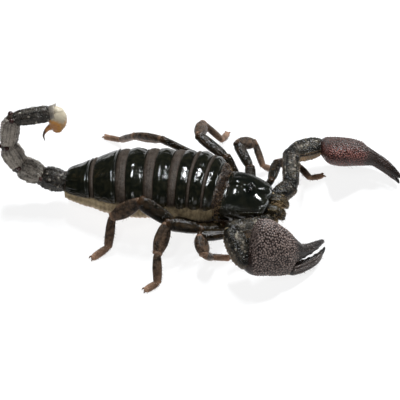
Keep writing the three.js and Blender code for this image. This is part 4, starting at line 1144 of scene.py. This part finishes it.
# ---------------------------------------------------------------- limbs
def bends_of(points):
    """The axis about which each segment of a limb bends."""
    ways = unit(np.diff(points, axis=0))
    turns = []
    for i in range(len(ways) - 1):
        turn = np.cross(ways[i], ways[i + 1])
        if turns and np.dot(turn, turns[-1]) < 0:
            turn = -turn
        turns.append(turn)
    return [turns[max(i - 1, 0)] + turns[min(i, len(turns) - 1)] for i in range(len(ways))]


def joint_tube(points, radii):
    """Soft skin along a limb, seen only where its hard parts part at the joints."""
    path, sizes = [points[0]], [radii[0]]
    for before, point, after, radius in zip(points, points[1:], points[2:], radii[1:]):
        back, on = unit(before - point), unit(after - point)
        reach = min(1.6, 0.3 * np.linalg.norm(after - point), 0.3 * np.linalg.norm(before - point))
        path += [point + back * reach, point + (back + on) * reach * 0.2, point + on * reach]
        sizes += [radius * 0.94, radius, radius * 0.94]
    form = bent_tube([*path, points[-1]], [*sizes, radii[-1]], 18, 22 * len(points))
    return form.raise_by(0.06 * np.sin(form["reach"] * 9))


def lip(form, place, height, groove, groove_width, depth):
    """Raised rim at the end of a segment, with a groove before it."""
    return hill(form["t"], place, 0.03) * height - hill(form["t"], groove, groove_width) * depth


# Segments of a leg: piece, node, profile, rows, sides, domes, finish, slot, height of the keels, and tone
# at the start and the end.
LEG_PARTS = (
    ("trochanter", "femur", TROCHANTER, 24, 40, (0.2, 0.45), LEG, "limb", 0, 0.8, 0.3),
    ("thigh", "femur", FEMUR, 60, 44, (0.5, 0.5), LEG, "limb", 0.2, 0.0, 0.0),
    ("knee", "patella", PATELLA, 60, 44, (0.5, 0.5), LEG, "limb", 0.22, 0.0, 0.05),
    ("shin", "foot", TIBIA, 56, 44, (0.4, 0.3), FOOT, "foot", 0.14, 0.0, 0.1),
    ("ankle", "foot", BASITARSUS, 36, 36, (0.4, 0.3), FOOT, "foot", 0, 0.05, 0.25),
    ("toe", "foot", TARSUS, 32, 36, (0.4, 0.5), FOOT, "foot", 0, 0.35, 0.75))
LEG_JOINTS = np.array([1.6, 1.75, 1.62, 1.6, 1.35, 1.0, 0.6])
# Bristles from the toe back to the thigh: count, lengths, share all round, lean and radius.
LEG_BRISTLES = ((70, (0.5, 1.0), 0.2, 0.5, 0.06), (60, (0.6, 1.2), 0.25, 0.6, 0.055),
                (40, (0.8, 1.6), 0.3, 0.6, 0.05), (22, (0.9, 1.7), 0.3, 0.5, 0.045),
                (14, (0.8, 1.5), 0.3, 0.5, 0.045))


def leg_relief(form, k, keel, back, size, number):
    """Keels, end rim, unevenness and granules of segment k of a leg, whose back is at the given angle."""
    if keel:
        for m, aim in enumerate((back - 0.55, back + 0.55, back + PI - 0.5, back + PI + 0.5)):
            ridge(form, aim, 0.28, keel * size, 0.55 if m > 1 else 0.7, (0.06, 0.93), number * 10 + m)
        for aim in (back + PI / 2, back - PI / 2):
            ridge(form, aim, 0.5, -0.1 * size, reach=(0.1, 0.9))
        form.raise_by(lip(form, 0.985, 0.16, 0.925, 0.025, 0.1) * size)
    weather(form, 1.7, 0.06 * size, number * 20 + k)
    if keel:
        top = smooth(0.9, 0.3, np.abs(form.off(back)) / PI)
        granulate(form, 0.5, 0.055, number * 30 + k - 1, 0.25 + 0.6 * top)


def make_leg(key, leg, hairs, number):
    size, name = leg["size"], f"leg_{key}"
    hip, turn = in_head(*leg["hip"], HIP_HEIGHT), in_head(*leg["turn"], TURN_HEIGHT)
    points = np.array([hip, turn, *leg["points"]], float)
    bends = bends_of(points)
    ways = unit(np.diff(points, axis=0))
    back = PI if np.dot(bends[2], np.cross(ways[2], ways[3])) > 0 else 0.0
    girths = [1, 1, leg.get("knee_girth", 1)] + [leg.get("shin_girth", 1)] * 3
    forms = []
    for k, (part, node, profile, rows, sides, domes, finish, slot, keel, low, high) in enumerate(LEG_PARTS):
        form = limb(points[k], points[k + 1], bends[k], profile, rows, sides, size * girths[k], domes)
        leg_relief(form, k, keel, back, size, number)
        if part == "toe":
            lobes = np.abs(np.sin(form["turn"] + back)) * smooth(0.75, 0.95, form["t"])
            form.raise_by(0.22 * lobes * size)
        below = smooth(-0.05, -0.75, form.up())
        ends = 0.35 * (smooth(0.1, 0.0, form["t"]) + smooth(0.9, 1.0, form["t"]))
        form["tone"] = low + (high - low) * smooth(0.3, 1.0, form["t"]) + 0.4 * below + ends
        form.keep_above(0)
        piece(f"{name}_{part}", form, finish, slot, f"{name}_{node}")
        forms.append(form)
    skin = joint_tube(points, LEG_JOINTS * size)
    skin.keep_above(0.2)
    piece(f"{name}_joints", skin, JOINT, "limb", f"{name}_femur", f"{name}_patella", f"{name}_foot")
    make_toe_claws(name, points, size)
    for k, (form, (count, lengths, share, lean, radius)) in enumerate(zip(forms[:0:-1], LEG_BRISTLES)):
        under = smooth(0.35, 1.0, np.abs(form.off(back)) / PI)
        hairs.grow(form, count, lengths, share + under, number * 40 + k, lean, radius)


def make_toe_claws(name, points, size):
    """Two curved claws with a middle spur at the toe's tip, and two spurs at its root."""
    ankle, toe = points[5], points[6]
    way = unit((toe - ankle) * [1, 1, 0])
    aside = np.array([-way[1], way[0], 0])
    ground = toe * [1, 1, 0]
    places = [(-0.5, 0.3, 0.95), (0.25 * TOE_CLAW_LENGTH, 0.75, 1.2), (0.6 * TOE_CLAW_LENGTH, 0.98, 1.0),
              (0.88 * TOE_CLAW_LENGTH, 1.02, 0.6), (TOE_CLAW_LENGTH, 1.0, 0.3)]
    claws = [bent_tube([ground + way * a + aside * b * side + [0, 0, c] for a, b, c in places],
                       [0.5, 0.46, 0.36, 0.22, 0.09], 12, 24, True) for side in (-1, 1)]
    spur = [ground + way * a + [0, 0, c] for a, c in ((-0.4, 0.9), (0.5, 0.75), (1.0, 0.45))]
    claws.append(bent_tube(spur, [0.4, 0.3, 0.1], 10, 12, True))
    for side in (-1, 1):
        root = ankle + aside * side * 0.9 * size
        tip = root + way * 0.9 + aside * side * 0.5 + [0, 0, -0.9]
        tip[2] = max(tip[2], 0.25)
        claws.append(bent_tube([root, (root + tip) / 2 + [0, 0, 0.1], tip], [0.3, 0.22, 0.07], 8, 10, True))
    form = join(claws)
    form.keep_above(0)
    piece(f"{name}_claws", form, TOE_CLAW, "foot", f"{name}_foot")


# ---------------------------------------------------------------- pincer arms
def curl(t):
    return -CURL * np.maximum(t - CURL_FROM, 0) ** 2


class Claw:
    """The frame of one pincer hand: along it, inward across it and up from its face."""

    def __init__(self, arm):
        wrist, tip = (np.array(point, float) for point in arm["points"][2:])
        forward = unit(tip - wrist)
        for _ in range(6):
            inward = np.array(arm["inward"], float)
            inward = unit(inward - forward * np.dot(inward, forward))
            upface = np.cross(forward, inward) * -arm["sign"]
            forward = unit(tip - wrist - inward * PALM_TIP[1] - upface * curl(PALM_TIP[0]))
        self.wrist, self.forward, self.inward, self.upface = wrist, forward, inward, upface

    def at(self, t, w, h=0.0):
        t, w, h = np.broadcast_arrays(np.asarray(t, float), np.asarray(w, float), np.asarray(h, float))
        return (self.wrist + t[..., None] * self.forward + w[..., None] * self.inward
                + (h + curl(t))[..., None] * self.upface)


def finger_rows(table, tip, rows):
    """Distances along a finger with its rounded tip, and how far it still has its size."""
    body = np.linspace(table[0][0], table[-1][0], rows)
    end = np.linspace(0, 1, 12)[1:-1]
    t = np.concatenate([body, table[-1][0] + (tip - table[-1][0]) * end])
    return t, np.concatenate([np.ones(rows), np.sqrt(1 - end**2)])


def digit(at, t, half, thick, middle, girth, ends, squareness, sides):
    """Closed skin of one part of a hand. at places it; half and thick are its half sizes."""
    turn = circle(sides)
    across = np.outer(half, power(np.cos(turn), 2 / squareness)) + middle[:, None]
    high = np.outer(thick, power(np.sin(turn), 2 / squareness))
    share = (t - t[0]) / (t[-1] - t[0])
    return loft(at(t[:, None], across, high), *ends, t=share[:, None], turn=turn[None], w=across, h=high,
                reach=t[:, None], girth=girth[:, None])


def tooth_row(name, centres, way, size, node):
    teeth = beads(centres, np.tile(way, (len(size), 1)), size, size * 1.3)
    piece(name, teeth, TOOTH, "pincer", node)


FINGER_KEELS = ((1.0, 0.3), (1.57, 0.34), (2.15, 0.32), (-1.0, 0.22), (-2.1, 0.22))      # aim and height
PALM_KEELS = ((1.0, 0.3), (1.57, 0.3), (2.15, 0.3), (-1.0, 0.22), (-2.1, 0.22))
HAND_SKIN = {"right": PALM_SKIN, "left": FAR_PALM_SKIN}


def palm_edge(side, turn):
    """How grey a palm is round its section: the left one on its faces, the right one on its narrow sides."""
    level = np.sin(turn)
    if side == "left":
        return 0.9 * smooth(0.3, 0.9, level) + 0.6 * smooth(0.8, 1.0, -level)
    return smooth(0.45, 0.95, np.abs(np.cos(turn))) * 0.2


def make_palm(side, arm, claw, hairs):
    node, hand = f"pedipalp_{side}_palm", -arm["sign"]
    t, swell = finger_rows(PALM, PALM_TIP[0], PALM_ROWS)
    inner, outer, thick = (along(PALM, t, k) for k in (1, 2, 3))
    thick = thick * arm["plump"] * swell
    tip_shift = np.interp(t, [PALM[-1][0], PALM_TIP[0]], [0, PALM_TIP[1] - (inner[-1] + outer[-1]) / 2])
    middle, half = (inner + outer) / 2 + tip_shift, (inner - outer) / 2 * swell
    ends = claw.at(PALM[0][0] - 0.9, 0.0), claw.at(*PALM_TIP)
    form = digit(claw.at, t, half, thick, middle, (half + thick) / 2, ends, 2.15, PALM_SIDES)
    form.way = claw.forward
    place, w, high = (form[k] for k in ("reach", "w", "h"))
    is_finger = smooth(19.5, 24.0, place)
    for aim, height in PALM_KEELS:
        keel = hill(form.off(aim) * form["girth"], 0, 0.4) * height
        form.raise_by(keel * is_finger * smooth(37.0, 34.0, place))
    up = smooth(-0.5, 0.5, high)
    lane = hill(w, -3.2 + 0.06 * (place - 9), 0.55) + 0.8 * hill(w, 2.6 - 0.03 * (place - 9), 0.6)
    form.raise_by(0.22 * lane * up * smooth(1.5, 4, place) * smooth(22, 19, place))
    weather(form, 3.2, 0.12, 51 + hand)
    coarse = smooth(0.0, 2.5, place) * smooth(24.5, 19.5, place)
    granulate(form, 0.8, 0.32, 52 + hand, coarse * (0.62 + 0.38 * up), 0.54)
    fine = is_finger * smooth(37.5, 30, place)
    coarse_grain, coarse_tint = form["grain"], form["tint"]
    granulate(form, 0.42, 0.05, 55 + hand, fine)
    form["grain"] = np.maximum(coarse_grain, 0.7 * form["grain"] * fine)
    form["tint"] = np.where(fine > 0.05, form["tint"], coarse_tint)
    form["tone"] = np.maximum(smooth(18.5, 24, place) * 0.95, palm_edge(side, form["turn"]))
    piece(f"palm_{side}", form, HAND_SKIN[side], "pincer", node)
    hairs.grow(form, 150, (0.8, 1.8), smooth(1, 5, place) * (0.4 + is_finger), 58 + hand, 0.4, 0.04)
    line = np.linspace(21.5, 35.4, 34)
    uneven = np.random.default_rng(59).uniform(0, 0.08, len(line))
    size = 0.28 + 0.3 * np.abs(np.sin(line * 0.9)) ** 4 + uneven
    tooth_row(f"palm_teeth_{side}", claw.at(line, along(PALM, line, 2) + 0.15), -claw.inward, size, node)


def make_finger(side, arm, claw, hairs):
    node, hand = f"pedipalp_{side}_finger", -arm["sign"]
    gape = math.radians(arm["gape"])
    hinge_t, hinge_w = FINGER[0][:2]

    def swing(t, w, h=0.0):
        dt, dw = t - hinge_t, w - hinge_w
        return claw.at(hinge_t + dt * math.cos(gape) - dw * math.sin(gape),
                       hinge_w + dt * math.sin(gape) + dw * math.cos(gape),
                       h - arm["drop"] - arm["splay"] * dt)

    t, swell = finger_rows(FINGER, FINGER_TIP[0], FINGER_ROWS)
    middle, half, thick = (along(FINGER, t, k) for k in (1, 2, 3))
    middle = middle + np.interp(t, [FINGER[-1][0], FINGER_TIP[0]], [0, FINGER_TIP[1] - FINGER[-1][1]])
    start = rounded(t - t[0] + 0.05, 1.2)
    form = digit(swing, t, half * swell * start, thick * swell * start, middle, (half + thick) / 2 * swell,
                 (swing(hinge_t - 0.5, hinge_w), swing(*FINGER_TIP)), 2.1, FINGER_SIDES)
    form.way = claw.forward
    for k, (aim, height) in enumerate(FINGER_KEELS):
        ridge(form, aim, 0.4, height, 0.0, (0.08, 0.9), k)
    weather(form, 2.0, 0.08, 65)
    granulate(form, 0.42, 0.05, 66 + hand, smooth(0.02, 0.2, form["t"]) * smooth(1.0, 0.8, form["t"]))
    form["tone"] = 0.85 + 0.15 * smooth(0.1, 0.5, form["t"])
    piece(f"finger_{side}", form, HAND_SKIN[side], "pincer", node)
    hairs.grow(form, 110, (0.8, 1.6), smooth(0.05, 0.3, form["t"]), 68 + hand, 0.4, 0.04)
    line = np.linspace(20.5, 35.6, 36)
    size = 0.26 + 0.28 * np.abs(np.sin(line * 0.9 + 1.2)) ** 4
    edge = along(FINGER, line, 1) + along(FINGER, line, 2)
    tooth_row(f"finger_teeth_{side}", swing(line, edge - 0.15), claw.inward, size, node)


ARM_ROOT = (1.5, 4.8, 6.2)
ARM_COXA = [[0, 2.6, 2.4], [0.5, 3.4, 2.9], [1, 3.6, 3.1]]
ARM_LOBE_FROM, ARM_LOBE_TO = (9, 5.6, 6.3), (15.2, 4.2, 6.2)
ARM_LOBE = [[0, 2.2, 1.7], [1, 1.6, 1.4]]
KNUCKLE, KNUCKLE_RADIUS = (17.8, -5.4), 2.3       # in the hand: distance from the wrist, and inward
ARM_PARTS = (("trochanter", ARM_TROCHANTER, 50), ("femur", ARM_FEMUR, 130), ("patella", ARM_PATELLA, 130))
ARM_JOINTS = [2.4, 2.95, 2.85, 2.8, 2.6, 1.0]


def make_arm(side, arm, hairs):
    sign, name, node = arm["sign"], f"arm_{side}", f"pedipalp_{side}"
    coxa_root, coxa_tip = head_side(sign, *ARM_ROOT), in_head(*arm["coxa"])
    points = np.array([coxa_root, coxa_tip, *arm["points"]], float)
    bends = bends_of(points)
    lobe = limb(head_side(sign, *ARM_LOBE_FROM), head_side(sign, *ARM_LOBE_TO), UP, ARM_LOBE, 30, 40)
    coxa = join([limb(coxa_root, coxa_tip, UP, ARM_COXA, 40, 60), lobe])
    weather(coxa, 1.8, 0.12, 71)
    granulate(coxa, 0.55, 0.07, 72, 0.8)
    coxa["tone"] = 0.6 + 0.4 * smooth(0.4, 1.0, coxa["t"])
    piece(f"{name}_coxa", coxa, UNDER, "limb", f"{node}_coxa")
    for k, (part, profile, rows) in enumerate(ARM_PARTS, 1):
        form = limb(points[k], points[k + 1], bends[k], profile, rows, ARM_SIDES, domes=(0.45, 0.5),
                    squareness=2.5)
        if part != "trochanter":
            for m, aim in enumerate((0.72, PI - 0.72, PI + 0.72, -0.72)):
                ridge(form, aim, 0.36, 0.36, 0.85, (0.04, 0.95), 73 + m)
            for aim in (0.0, PI / 2, PI, -PI / 2):
                ridge(form, aim, 1.2, -0.16, 0, (0.1, 0.9))
        form.raise_by(lip(form, 0.99, 0.2, 0.93, 0.02, 0.14))
        weather(form, 2.2, 0.1, 74 + k)
        cover = smooth(0.0, 0.08, form["t"]) * smooth(1.0, 0.95, form["t"])
        below = smooth(0.45, -0.35, form.up())
        uneven = (0.65 + 0.5 * noise(form.points, 3.0, 9)).clip(0.12, 1)
        granulate(form, 0.92, 0.44, 75 + k, cover * uneven, 0.52)
        form["tone"] = below * (0.8 + 0.4 * noise(form.points, 2.5, 74))
        piece(f"{name}_{part}", form, ARM, "limb", f"{node}_{part}")
        hairs.grow(form, 46, (0.9, 2.0), cover, 77 + k, 0.4, 0.045)
    claw = Claw(arm)
    tube = joint_tube(np.array([*points[:5], claw.at(3.0, 0.0)], float), ARM_JOINTS)
    piece(f"{name}_joints", tube, JOINT, "limb", *[f"{node}_{part}" for part, _, _ in ARM_PARTS])
    knuckle = ball(claw.at(*KNUCKLE, -arm["drop"]), KNUCKLE_RADIUS, 20, 28)
    piece(f"{name}_knuckle", knuckle, JOINT, "pincer", f"{node}_palm", f"{node}_finger")
    make_palm(side, arm, claw, hairs)
    make_finger(side, arm, claw, hairs)


# ---------------------------------------------------------------- underside of the head
UNDER_WIDTH = [[-10.9, 11.6], [-4, 12.3], [3, 11.4], [8, 8.8], [9.6, 7.6]]
HIP_PROFILE = [[0, 1.5, 1.5], [0.5, 2.1, 2.15], [0.9, 2.6, 2.65], [1, 2.5, 2.6]]
# Plates of the breast in the head's frame: both ends, profile, rows and sides.
BREAST_PLATE = ((-1.2, 0, 4.0), (-6.2, 0, 4.0), [[0, 1.0, 0.9], [0.4, 1.9, 1.0], [1, 2.3, 1.0]], 30, 40)
MOUTH_LOBE_PROFILE = [[0, 0.9, 0.8], [0.6, 1.25, 0.9], [1, 0.7, 0.6]]
MOUTH_LOBES = (((2.5, 1.1, 4.4), (9.5, 1.6, 4.9), MOUTH_LOBE_PROFILE, 30, 30),
               ((2.5, 3.0, 4.4), (7.5, 3.5, 4.9), MOUTH_LOBE_PROFILE, 30, 30))
LID = ((-7.6, 0.4, 4.0), (-7.8, 3.2, 4.2), [[0, 1.1, 0.7], [0.5, 1.5, 0.8], [1, 0.9, 0.6]], 24, 36)


def make_underside():
    x = np.linspace(-10.9, 9.6, 60)[:, None]
    floor = 3.6 + 0.012 * (x + 1) ** 2
    roof = SHIELD_EDGE_HEIGHT - 0.6
    turn = circle(120)
    y = along(UNDER_WIDTH, x) * power(np.cos(turn), 2 / 3.2)
    z = (roof + floor) / 2 + (roof - floor) / 2 * power(np.sin(turn), 2 / 3.2)
    core = loft(in_head(x, y, z), tone=0.05)
    weather(core, 0.9, 0.18, 91)
    piece("head_skin", core, SKIN, "underside", "prosoma_underside")
    for key, leg in LEGS.items():
        root = in_head(leg["hip"][0] * 0.55 + 1, math.copysign(2.6, leg["hip"][1]), 4.6)
        form = limb(root, in_head(*leg["hip"], HIP_HEIGHT), UP, HIP_PROFILE, 46, 44, domes=(0.4, 0.35))
        for aim in (PI, 0):
            ridge(form, aim, 0.3, 0.2, 0.6, (0.1, 0.95))
        weather(form, 1.6, 0.1, 92)
        granulate(form, 0.55, 0.06, 93, 0.8)
        form["tone"] = smooth(0.0, -0.8, form.up())
        piece(f"coxa_{key}", form, UNDER, "underside", "prosoma_underside")
    plates = [(1, BREAST_PLATE), *itertools.product((-1, 1), MOUTH_LOBES), *itertools.product((-1, 1), [LID])]
    forms = [limb(head_side(sign, *root), head_side(sign, *tip), UP, profile, rows, sides)
             for sign, (root, tip, profile, rows, sides) in plates]
    piece("breast_plates", join(forms), UNDER, "underside", "prosoma_underside")


COMB_TEETH = 17


def under_belly(x, y, drop):
    """Points below the trunk's lower surface."""
    across = np.minimum(np.abs(y) / along(TRUNK_WIDTH, x), 0.98)
    depth = along(TRUNK_DEPTH, x) * (1 - across**TRUNK_SQUARENESS) ** (1 / TRUNK_SQUARENESS)
    return off_line(x, y, along(TRUNK_HEIGHT, x) - depth - drop)


def make_pectine(side, sign):
    """Comb organ behind the last hips: a jointed bar with a row of close teeth."""
    t = np.linspace(0, 1, 7)
    bar = bent_tube(under_belly(18.6 - 4.2 * t, sign * (1.6 + 10 * t), 1.25), 0.95 - 0.4 * t, 14, 90)
    bar.raise_by(-0.12 * np.abs(np.cos(bar["reach"] * 1.9)) ** 12)
    teeth = []
    for k in range(COMB_TEETH):
        u = (k + 0.5) / COMB_TEETH
        root = under_belly(18.3 - 4.2 * u, sign * (1.6 + 10 * u), 1.25)
        tip = under_belly(15.4 - 4.0 * u, sign * (2.1 + 10 * u), 1.05)
        teeth.append(bent_tube([root, (root + tip) / 2 + [0, 0, -0.1], tip], [0.3, 0.31, 0.24], 10, 14))
    piece(f"comb_{side}", join([bar, *teeth]), COMB, "comb", f"pectine_{side}")


# ---------------------------------------------------------------- tail
TAIL_SKIN_ROOT, TAIL_SKIN_SHARE, TAIL_SKIN_TIP = 3.9, 0.86, 2.3
TAIL_SLIMMING = 0.965                 # the rings' bare skin, below their granules
TAIL_LUMPS = (0.4, 0.34, 0.22, 0.16, 0.16)
TAIL_PALENESS = (0.0, 0.38, 0.95, 0.85, 0.0)
TAIL_FINISH = (DARK_TAIL, TAIL, TAIL, TAIL, DARK_TAIL)
# Rim of the last ring: place along it and radius.
RIM_PLACE = np.array([-1.1, -0.7, -0.2, 0.3, 0.75, 1.0, 1.02, 0.7, 0.2])[:, None]
RIM_RADIUS = np.array([3.0, 3.25, 3.3, 3.4, 3.55, 3.6, 3.3, 2.9, 2.5])[:, None]
BULB_TOP, BULB_DROP = 42.5, 7.5       # the bulb's colour deepens from this height over this drop
VESICLE_OVAL = [[0, 0.62, 0.6], [0.22, 0.92, 0.88], [0.5, 1, 0.96], [0.78, 0.88, 0.86], [1, 0.55, 0.55]]


def scaled(profile, a, b):
    """A limb profile whose shares of the half sizes are scaled by a and b."""
    return [[row[0], a * row[1], b * row[-1]] for row in profile]


def make_tail_ring(i, points, across, hairs):
    profile = scaled(TAIL_PROFILE, *[size * TAIL_SLIMMING for size in TAIL_SIZES[i]])
    form = limb(points[i], points[i + 1], across, profile, TAIL_ROWS, TAIL_SIDES, domes=(0.3, 0.12),
                squareness=2.3)
    form.raise_by(-0.55 * hill(form["turn"], 0, 0.4) * smooth(0.55, 1.0, form["t"]))
    for k in range(8):
        aim = k * PI / 4
        outer = k in (3, 4, 5)
        height = (0.42 if outer and i > 2 else 0.3) * (1.15 if k % 2 else 1.0)
        bead = 0.8 if i > 1 or not outer else 1.1
        ridge(form, aim, 0.34, height, bead, (0.06, 0.97), 100 + 10 * i + k)
        ridge(form, aim + PI / 8, 0.75, -0.08, 0, (0.08, 0.92))
    form.raise_by(lip(form, 0.975, 0.2, 0.9, 0.025, 0.1))
    weather(form, 2.0, 0.07, 110 + i)
    cover = smooth(0.02, 0.1, form["t"]) * smooth(1.0, 0.95, form["t"])
    lumps = noise(form.points, 1.5, 116 + i)
    form.raise_by(lumps * TAIL_LUMPS[i] * cover)
    granulate(form, 0.95, 0.34, 120 + i, cover * (0.65 + 0.35 * lumps), 0.52)
    patchy = 0.6 + 0.4 * noise(form.points, 2.5, 8)
    form["tone"] = TAIL_PALENESS[i] * patchy + 0.35 * smooth(0.93, 1, form["t"])
    piece(f"tail_ring_{i + 1}", form, TAIL_FINISH[i], "tail", f"metasoma_{i + 1}")
    hairs.grow(form, 26 + 10 * i, (0.9, 1.8), cover, 130 + i, 0.3, 0.045)


def make_tail(hairs):
    points = np.array(TAIL_POINTS)
    across = unit(np.cross(points[1] - points[0], points[4] - points[3]))
    for i in range(len(TAIL_SIZES)):
        make_tail_ring(i, points, across, hairs)
    heights = [height for height, _ in TAIL_SIZES]
    between = [min(pair) * TAIL_SKIN_SHARE for pair in zip(heights, heights[1:])]
    sizes = [TAIL_SKIN_ROOT, *between, TAIL_SKIN_TIP]
    tube = joint_tube(np.array([points[0] + (points[0] - points[1]) * 0.15, *points[1:]]), sizes)
    piece("tail_joints", tube, SKIN, "tail", *[f"metasoma_{k}" for k in range(1, 6)])
    knobs = []
    for i in range(1, 5):
        way = unit(points[i + 1] - points[i])
        for side in (-1, 1):
            centre = points[i] + way * 0.3 + across * side * TAIL_SIZES[i][1] * 0.74
            knobs.append(weather(ball(centre, 1.25, 18, 24), 0.8, 0.08, 137 + i))
        outer = np.cross(way, across) * TAIL_SIZES[i][0] * 0.7
        knobs.append(weather(ball(points[i] + outer, 1.3, 18, 24), 0.8, 0.1, 138 + i))
    piece("tail_knobs", join(knobs), KNOB, "tail", *[f"metasoma_{k}" for k in range(2, 6)])
    make_anal_rim(points, across)
    make_telson(points[5], across, hairs)


def make_anal_rim(points, across):
    """Flared pale rim at the end of the last ring, with a small point on its outer side."""
    way = unit(points[5] - points[4])
    up = np.cross(across, way)
    turn = circle(72)
    outer = smooth(0.1, 1.0, -np.cos(turn))
    spike = 0.5 * hill(turn - PI + 0.35, 0, 0.3)
    flared = RIM_PLACE > 0.5
    reach = RIM_PLACE * (1 + 0.35 * outer + 0.9 * spike * flared)
    size = RIM_RADIUS * (1 + 0.07 * outer + 0.1 * spike * flared) * (1 + 0.012 * np.sin(turn * 24))
    rings = (points[5] + reach[..., None] * way + (size * np.cos(turn))[..., None] * up * 0.98
             + (size * np.sin(turn))[..., None] * across * 1.05)
    piece("tail_rim", loft(rings, tone=smooth(-0.4, 0.9, RIM_PLACE)), RIM, "tail", "metasoma_5")


def make_telson(joint, across, hairs):
    """Sting bulb with its neck and curved sting, melted into one skin."""
    start, end = np.array(VESICLE_FROM), np.array(VESICLE_TO)
    profile = scaled(VESICLE_OVAL, VESICLE_RADIUS, VESICLE_RADIUS)
    bulb = limb(start, end, across, profile, 40, 60, domes=(0.55, 0.55), squareness=2)
    neck_points = [joint, (joint + start) / 2 + [0.2, 0, 0.1], start + (end - start) * 0.22]
    neck = bent_tube(neck_points, [2.1, 2.4, 2.7], 30, 24)
    form = melt([bulb, neck, bent_tube(STING_POINTS, STING_RADII, 30, 60, True)])
    x, z = form.points[:, 0], form.points[:, 2]
    distance = np.linalg.norm(form.points[:, None] - np.array(STING_POINTS)[None], axis=2)
    down = np.clip((BULB_TOP - z) / BULB_DROP, 0, 1)
    hook = smooth(-52.2, -56.4, x) * smooth(36.9, 33.5, z) * (np.argmin(distance, 1) > 0)
    bulb_tone = 0.62 * smooth(0.0, 0.56, down) * (1 - 0.55 * smooth(-50.5, -46.8, x))
    form["tone"] = np.maximum(bulb_tone, hook) * (down > 0.05)
    form["t"], form["turn"] = down, down * 0
    form.way = unit(np.array(STING_POINTS[1]) - np.array(STING_POINTS[0]))
    weather(form, 1.3, 0.07, 141)
    granulate(form, 0.6, 0.09, 142, smooth(0.15, 0.4, down) * (1 - hook))
    piece("sting_bulb", form, VESICLE, "sting", "telson")
    hairs.grow(form, 60, (0.7, 1.5), smooth(0.2, 0.6, down) * (1 - hook), 143, 0.3, 0.04)


# ---------------------------------------------------------------- stage
def to_frame(point):
    return Vector((np.asarray(point, float) + SHIFT) * MM)


def make_floor():
    f = Finish("pale_floor")
    shade = f.noise(60, 2.0)
    colour = f.mix(shade, (0.17, 0.17, 0.17, 1), (0.19, 0.19, 0.19, 1))
    f.shade(Base_Color=colour, Roughness=shade * 0.05 + 0.85, Specular_IOR_Level=0.1,
            Emission_Color=(1, 1, 1, 1), Emission_Strength=0.74)
    mesh = bpy.data.meshes.new("floor")
    size = 3.0
    corners = [(-size, -size, 0), (size, -size, 0), (size, size, 0), (-size, size, 0)]
    mesh.from_pydata(corners, [], [(0, 1, 2, 3)])
    mesh.materials.append(f.material)
    linked("floor", mesh)


def stand(name, data, place, way, front):
    """Puts a light or camera at a place, with the axis of its own named front along the way."""
    thing = linked(name, data)
    thing.location = place
    thing.rotation_mode = "QUATERNION"
    thing.rotation_quaternion = way.to_track_quat(front, "Y")
    return thing


# Soft boxes: name, azimuth, elevation, distance and size in metres, watts, colour.
LIGHTS = (("overhead_box", 107, 62, 0.9, (0.05, 0.22), 6.4, (0.92, 0.96, 1.0)),
          ("head_side_box", 53, 47, 0.9, (0.08, 0.16), 7.5, (0.94, 0.97, 1.0)),
          ("front_box", -40, 30, 1.6, (0.7, 0.4), 1.6, (1, 1, 1)),
          ("near_side_box", -104, 55, 0.9, (0.03, 0.2), 1.5, (0.95, 0.97, 1.0)))


def make_light(name, azimuth, elevation, distance, size, watts, colour):
    """Soft box aimed at the trunk; azimuth from +X towards +Y, in degrees."""
    a, e = math.radians(azimuth), math.radians(elevation)
    way = Vector((math.cos(a) * math.cos(e), math.sin(a) * math.cos(e), math.sin(e)))
    data = bpy.data.lights.new(name, "AREA")
    data.shape = "RECTANGLE"
    data.size, data.size_y = size
    data.energy = watts
    data.color = colour
    stand(name, data, to_frame((0, 0, 12)) + way * distance, way, "Z")


def make_camera():
    a, e = CAMERA_AZIMUTH, CAMERA_ELEVATION
    back = Vector((math.sin(a) * math.cos(e), -math.cos(a) * math.cos(e), math.sin(e)))
    data = bpy.data.cameras.new("camera")
    data.sensor_width, data.lens = CAMERA_SENSOR, CAMERA_LENS
    data.clip_start, data.clip_end = 0.02, 20
    place = to_frame(CAMERA_TARGET) + back * CAMERA_DISTANCE * MM
    bpy.context.scene.camera = stand("camera", data, place, -back, "-Z")


def make_world():
    world = bpy.data.worlds.new("studio")
    bpy.context.scene.world = world
    world.use_nodes = True
    background = world.node_tree.nodes["Background"]
    background.inputs["Color"].default_value = (0.9, 0.93, 1.0, 1)
    background.inputs["Strength"].default_value = 0.035


def make_scorpion():
    make_trunk_skin()
    make_back_plates()
    make_belly_plates()
    make_shield()
    hairs = Hairs()
    make_neck(hairs)
    hairs.make("neck_bristles", PALE_BRISTLE, "shell", "carapace")
    make_eyes()
    hairs = Hairs()
    for side, sign in SIDES:
        make_chelicera(side, sign, hairs)
        make_pectine(side, sign)
    hairs.make("mouth_bristles", PALE_BRISTLE, "mouthpart", "chelicera_left", "chelicera_right")
    make_underside()
    for side, arm in ARMS.items():
        hairs = Hairs()
        make_arm(side, arm, hairs)
        hairs.make(f"arm_{side}_bristles", BRISTLE, "limb", f"pedipalp_{side}_femur")
    for number, (key, leg) in enumerate(LEGS.items(), 1):
        hairs = Hairs()
        make_leg(key, leg, hairs, number)
        hairs.make(f"leg_{key}_bristles", BRISTLE, "limb", f"leg_{key}_foot")
    hairs = Hairs()
    make_tail(hairs)
    hairs.make("tail_bristles", BRISTLE, "tail", "metasoma_5")


make_camera()
make_floor()
for values in LIGHTS:
    make_light(*values)
make_world()
bpy.context.scene.view_settings.view_transform = "Standard"
bpy.context.scene.view_settings.exposure = 0.2
make_scorpion()
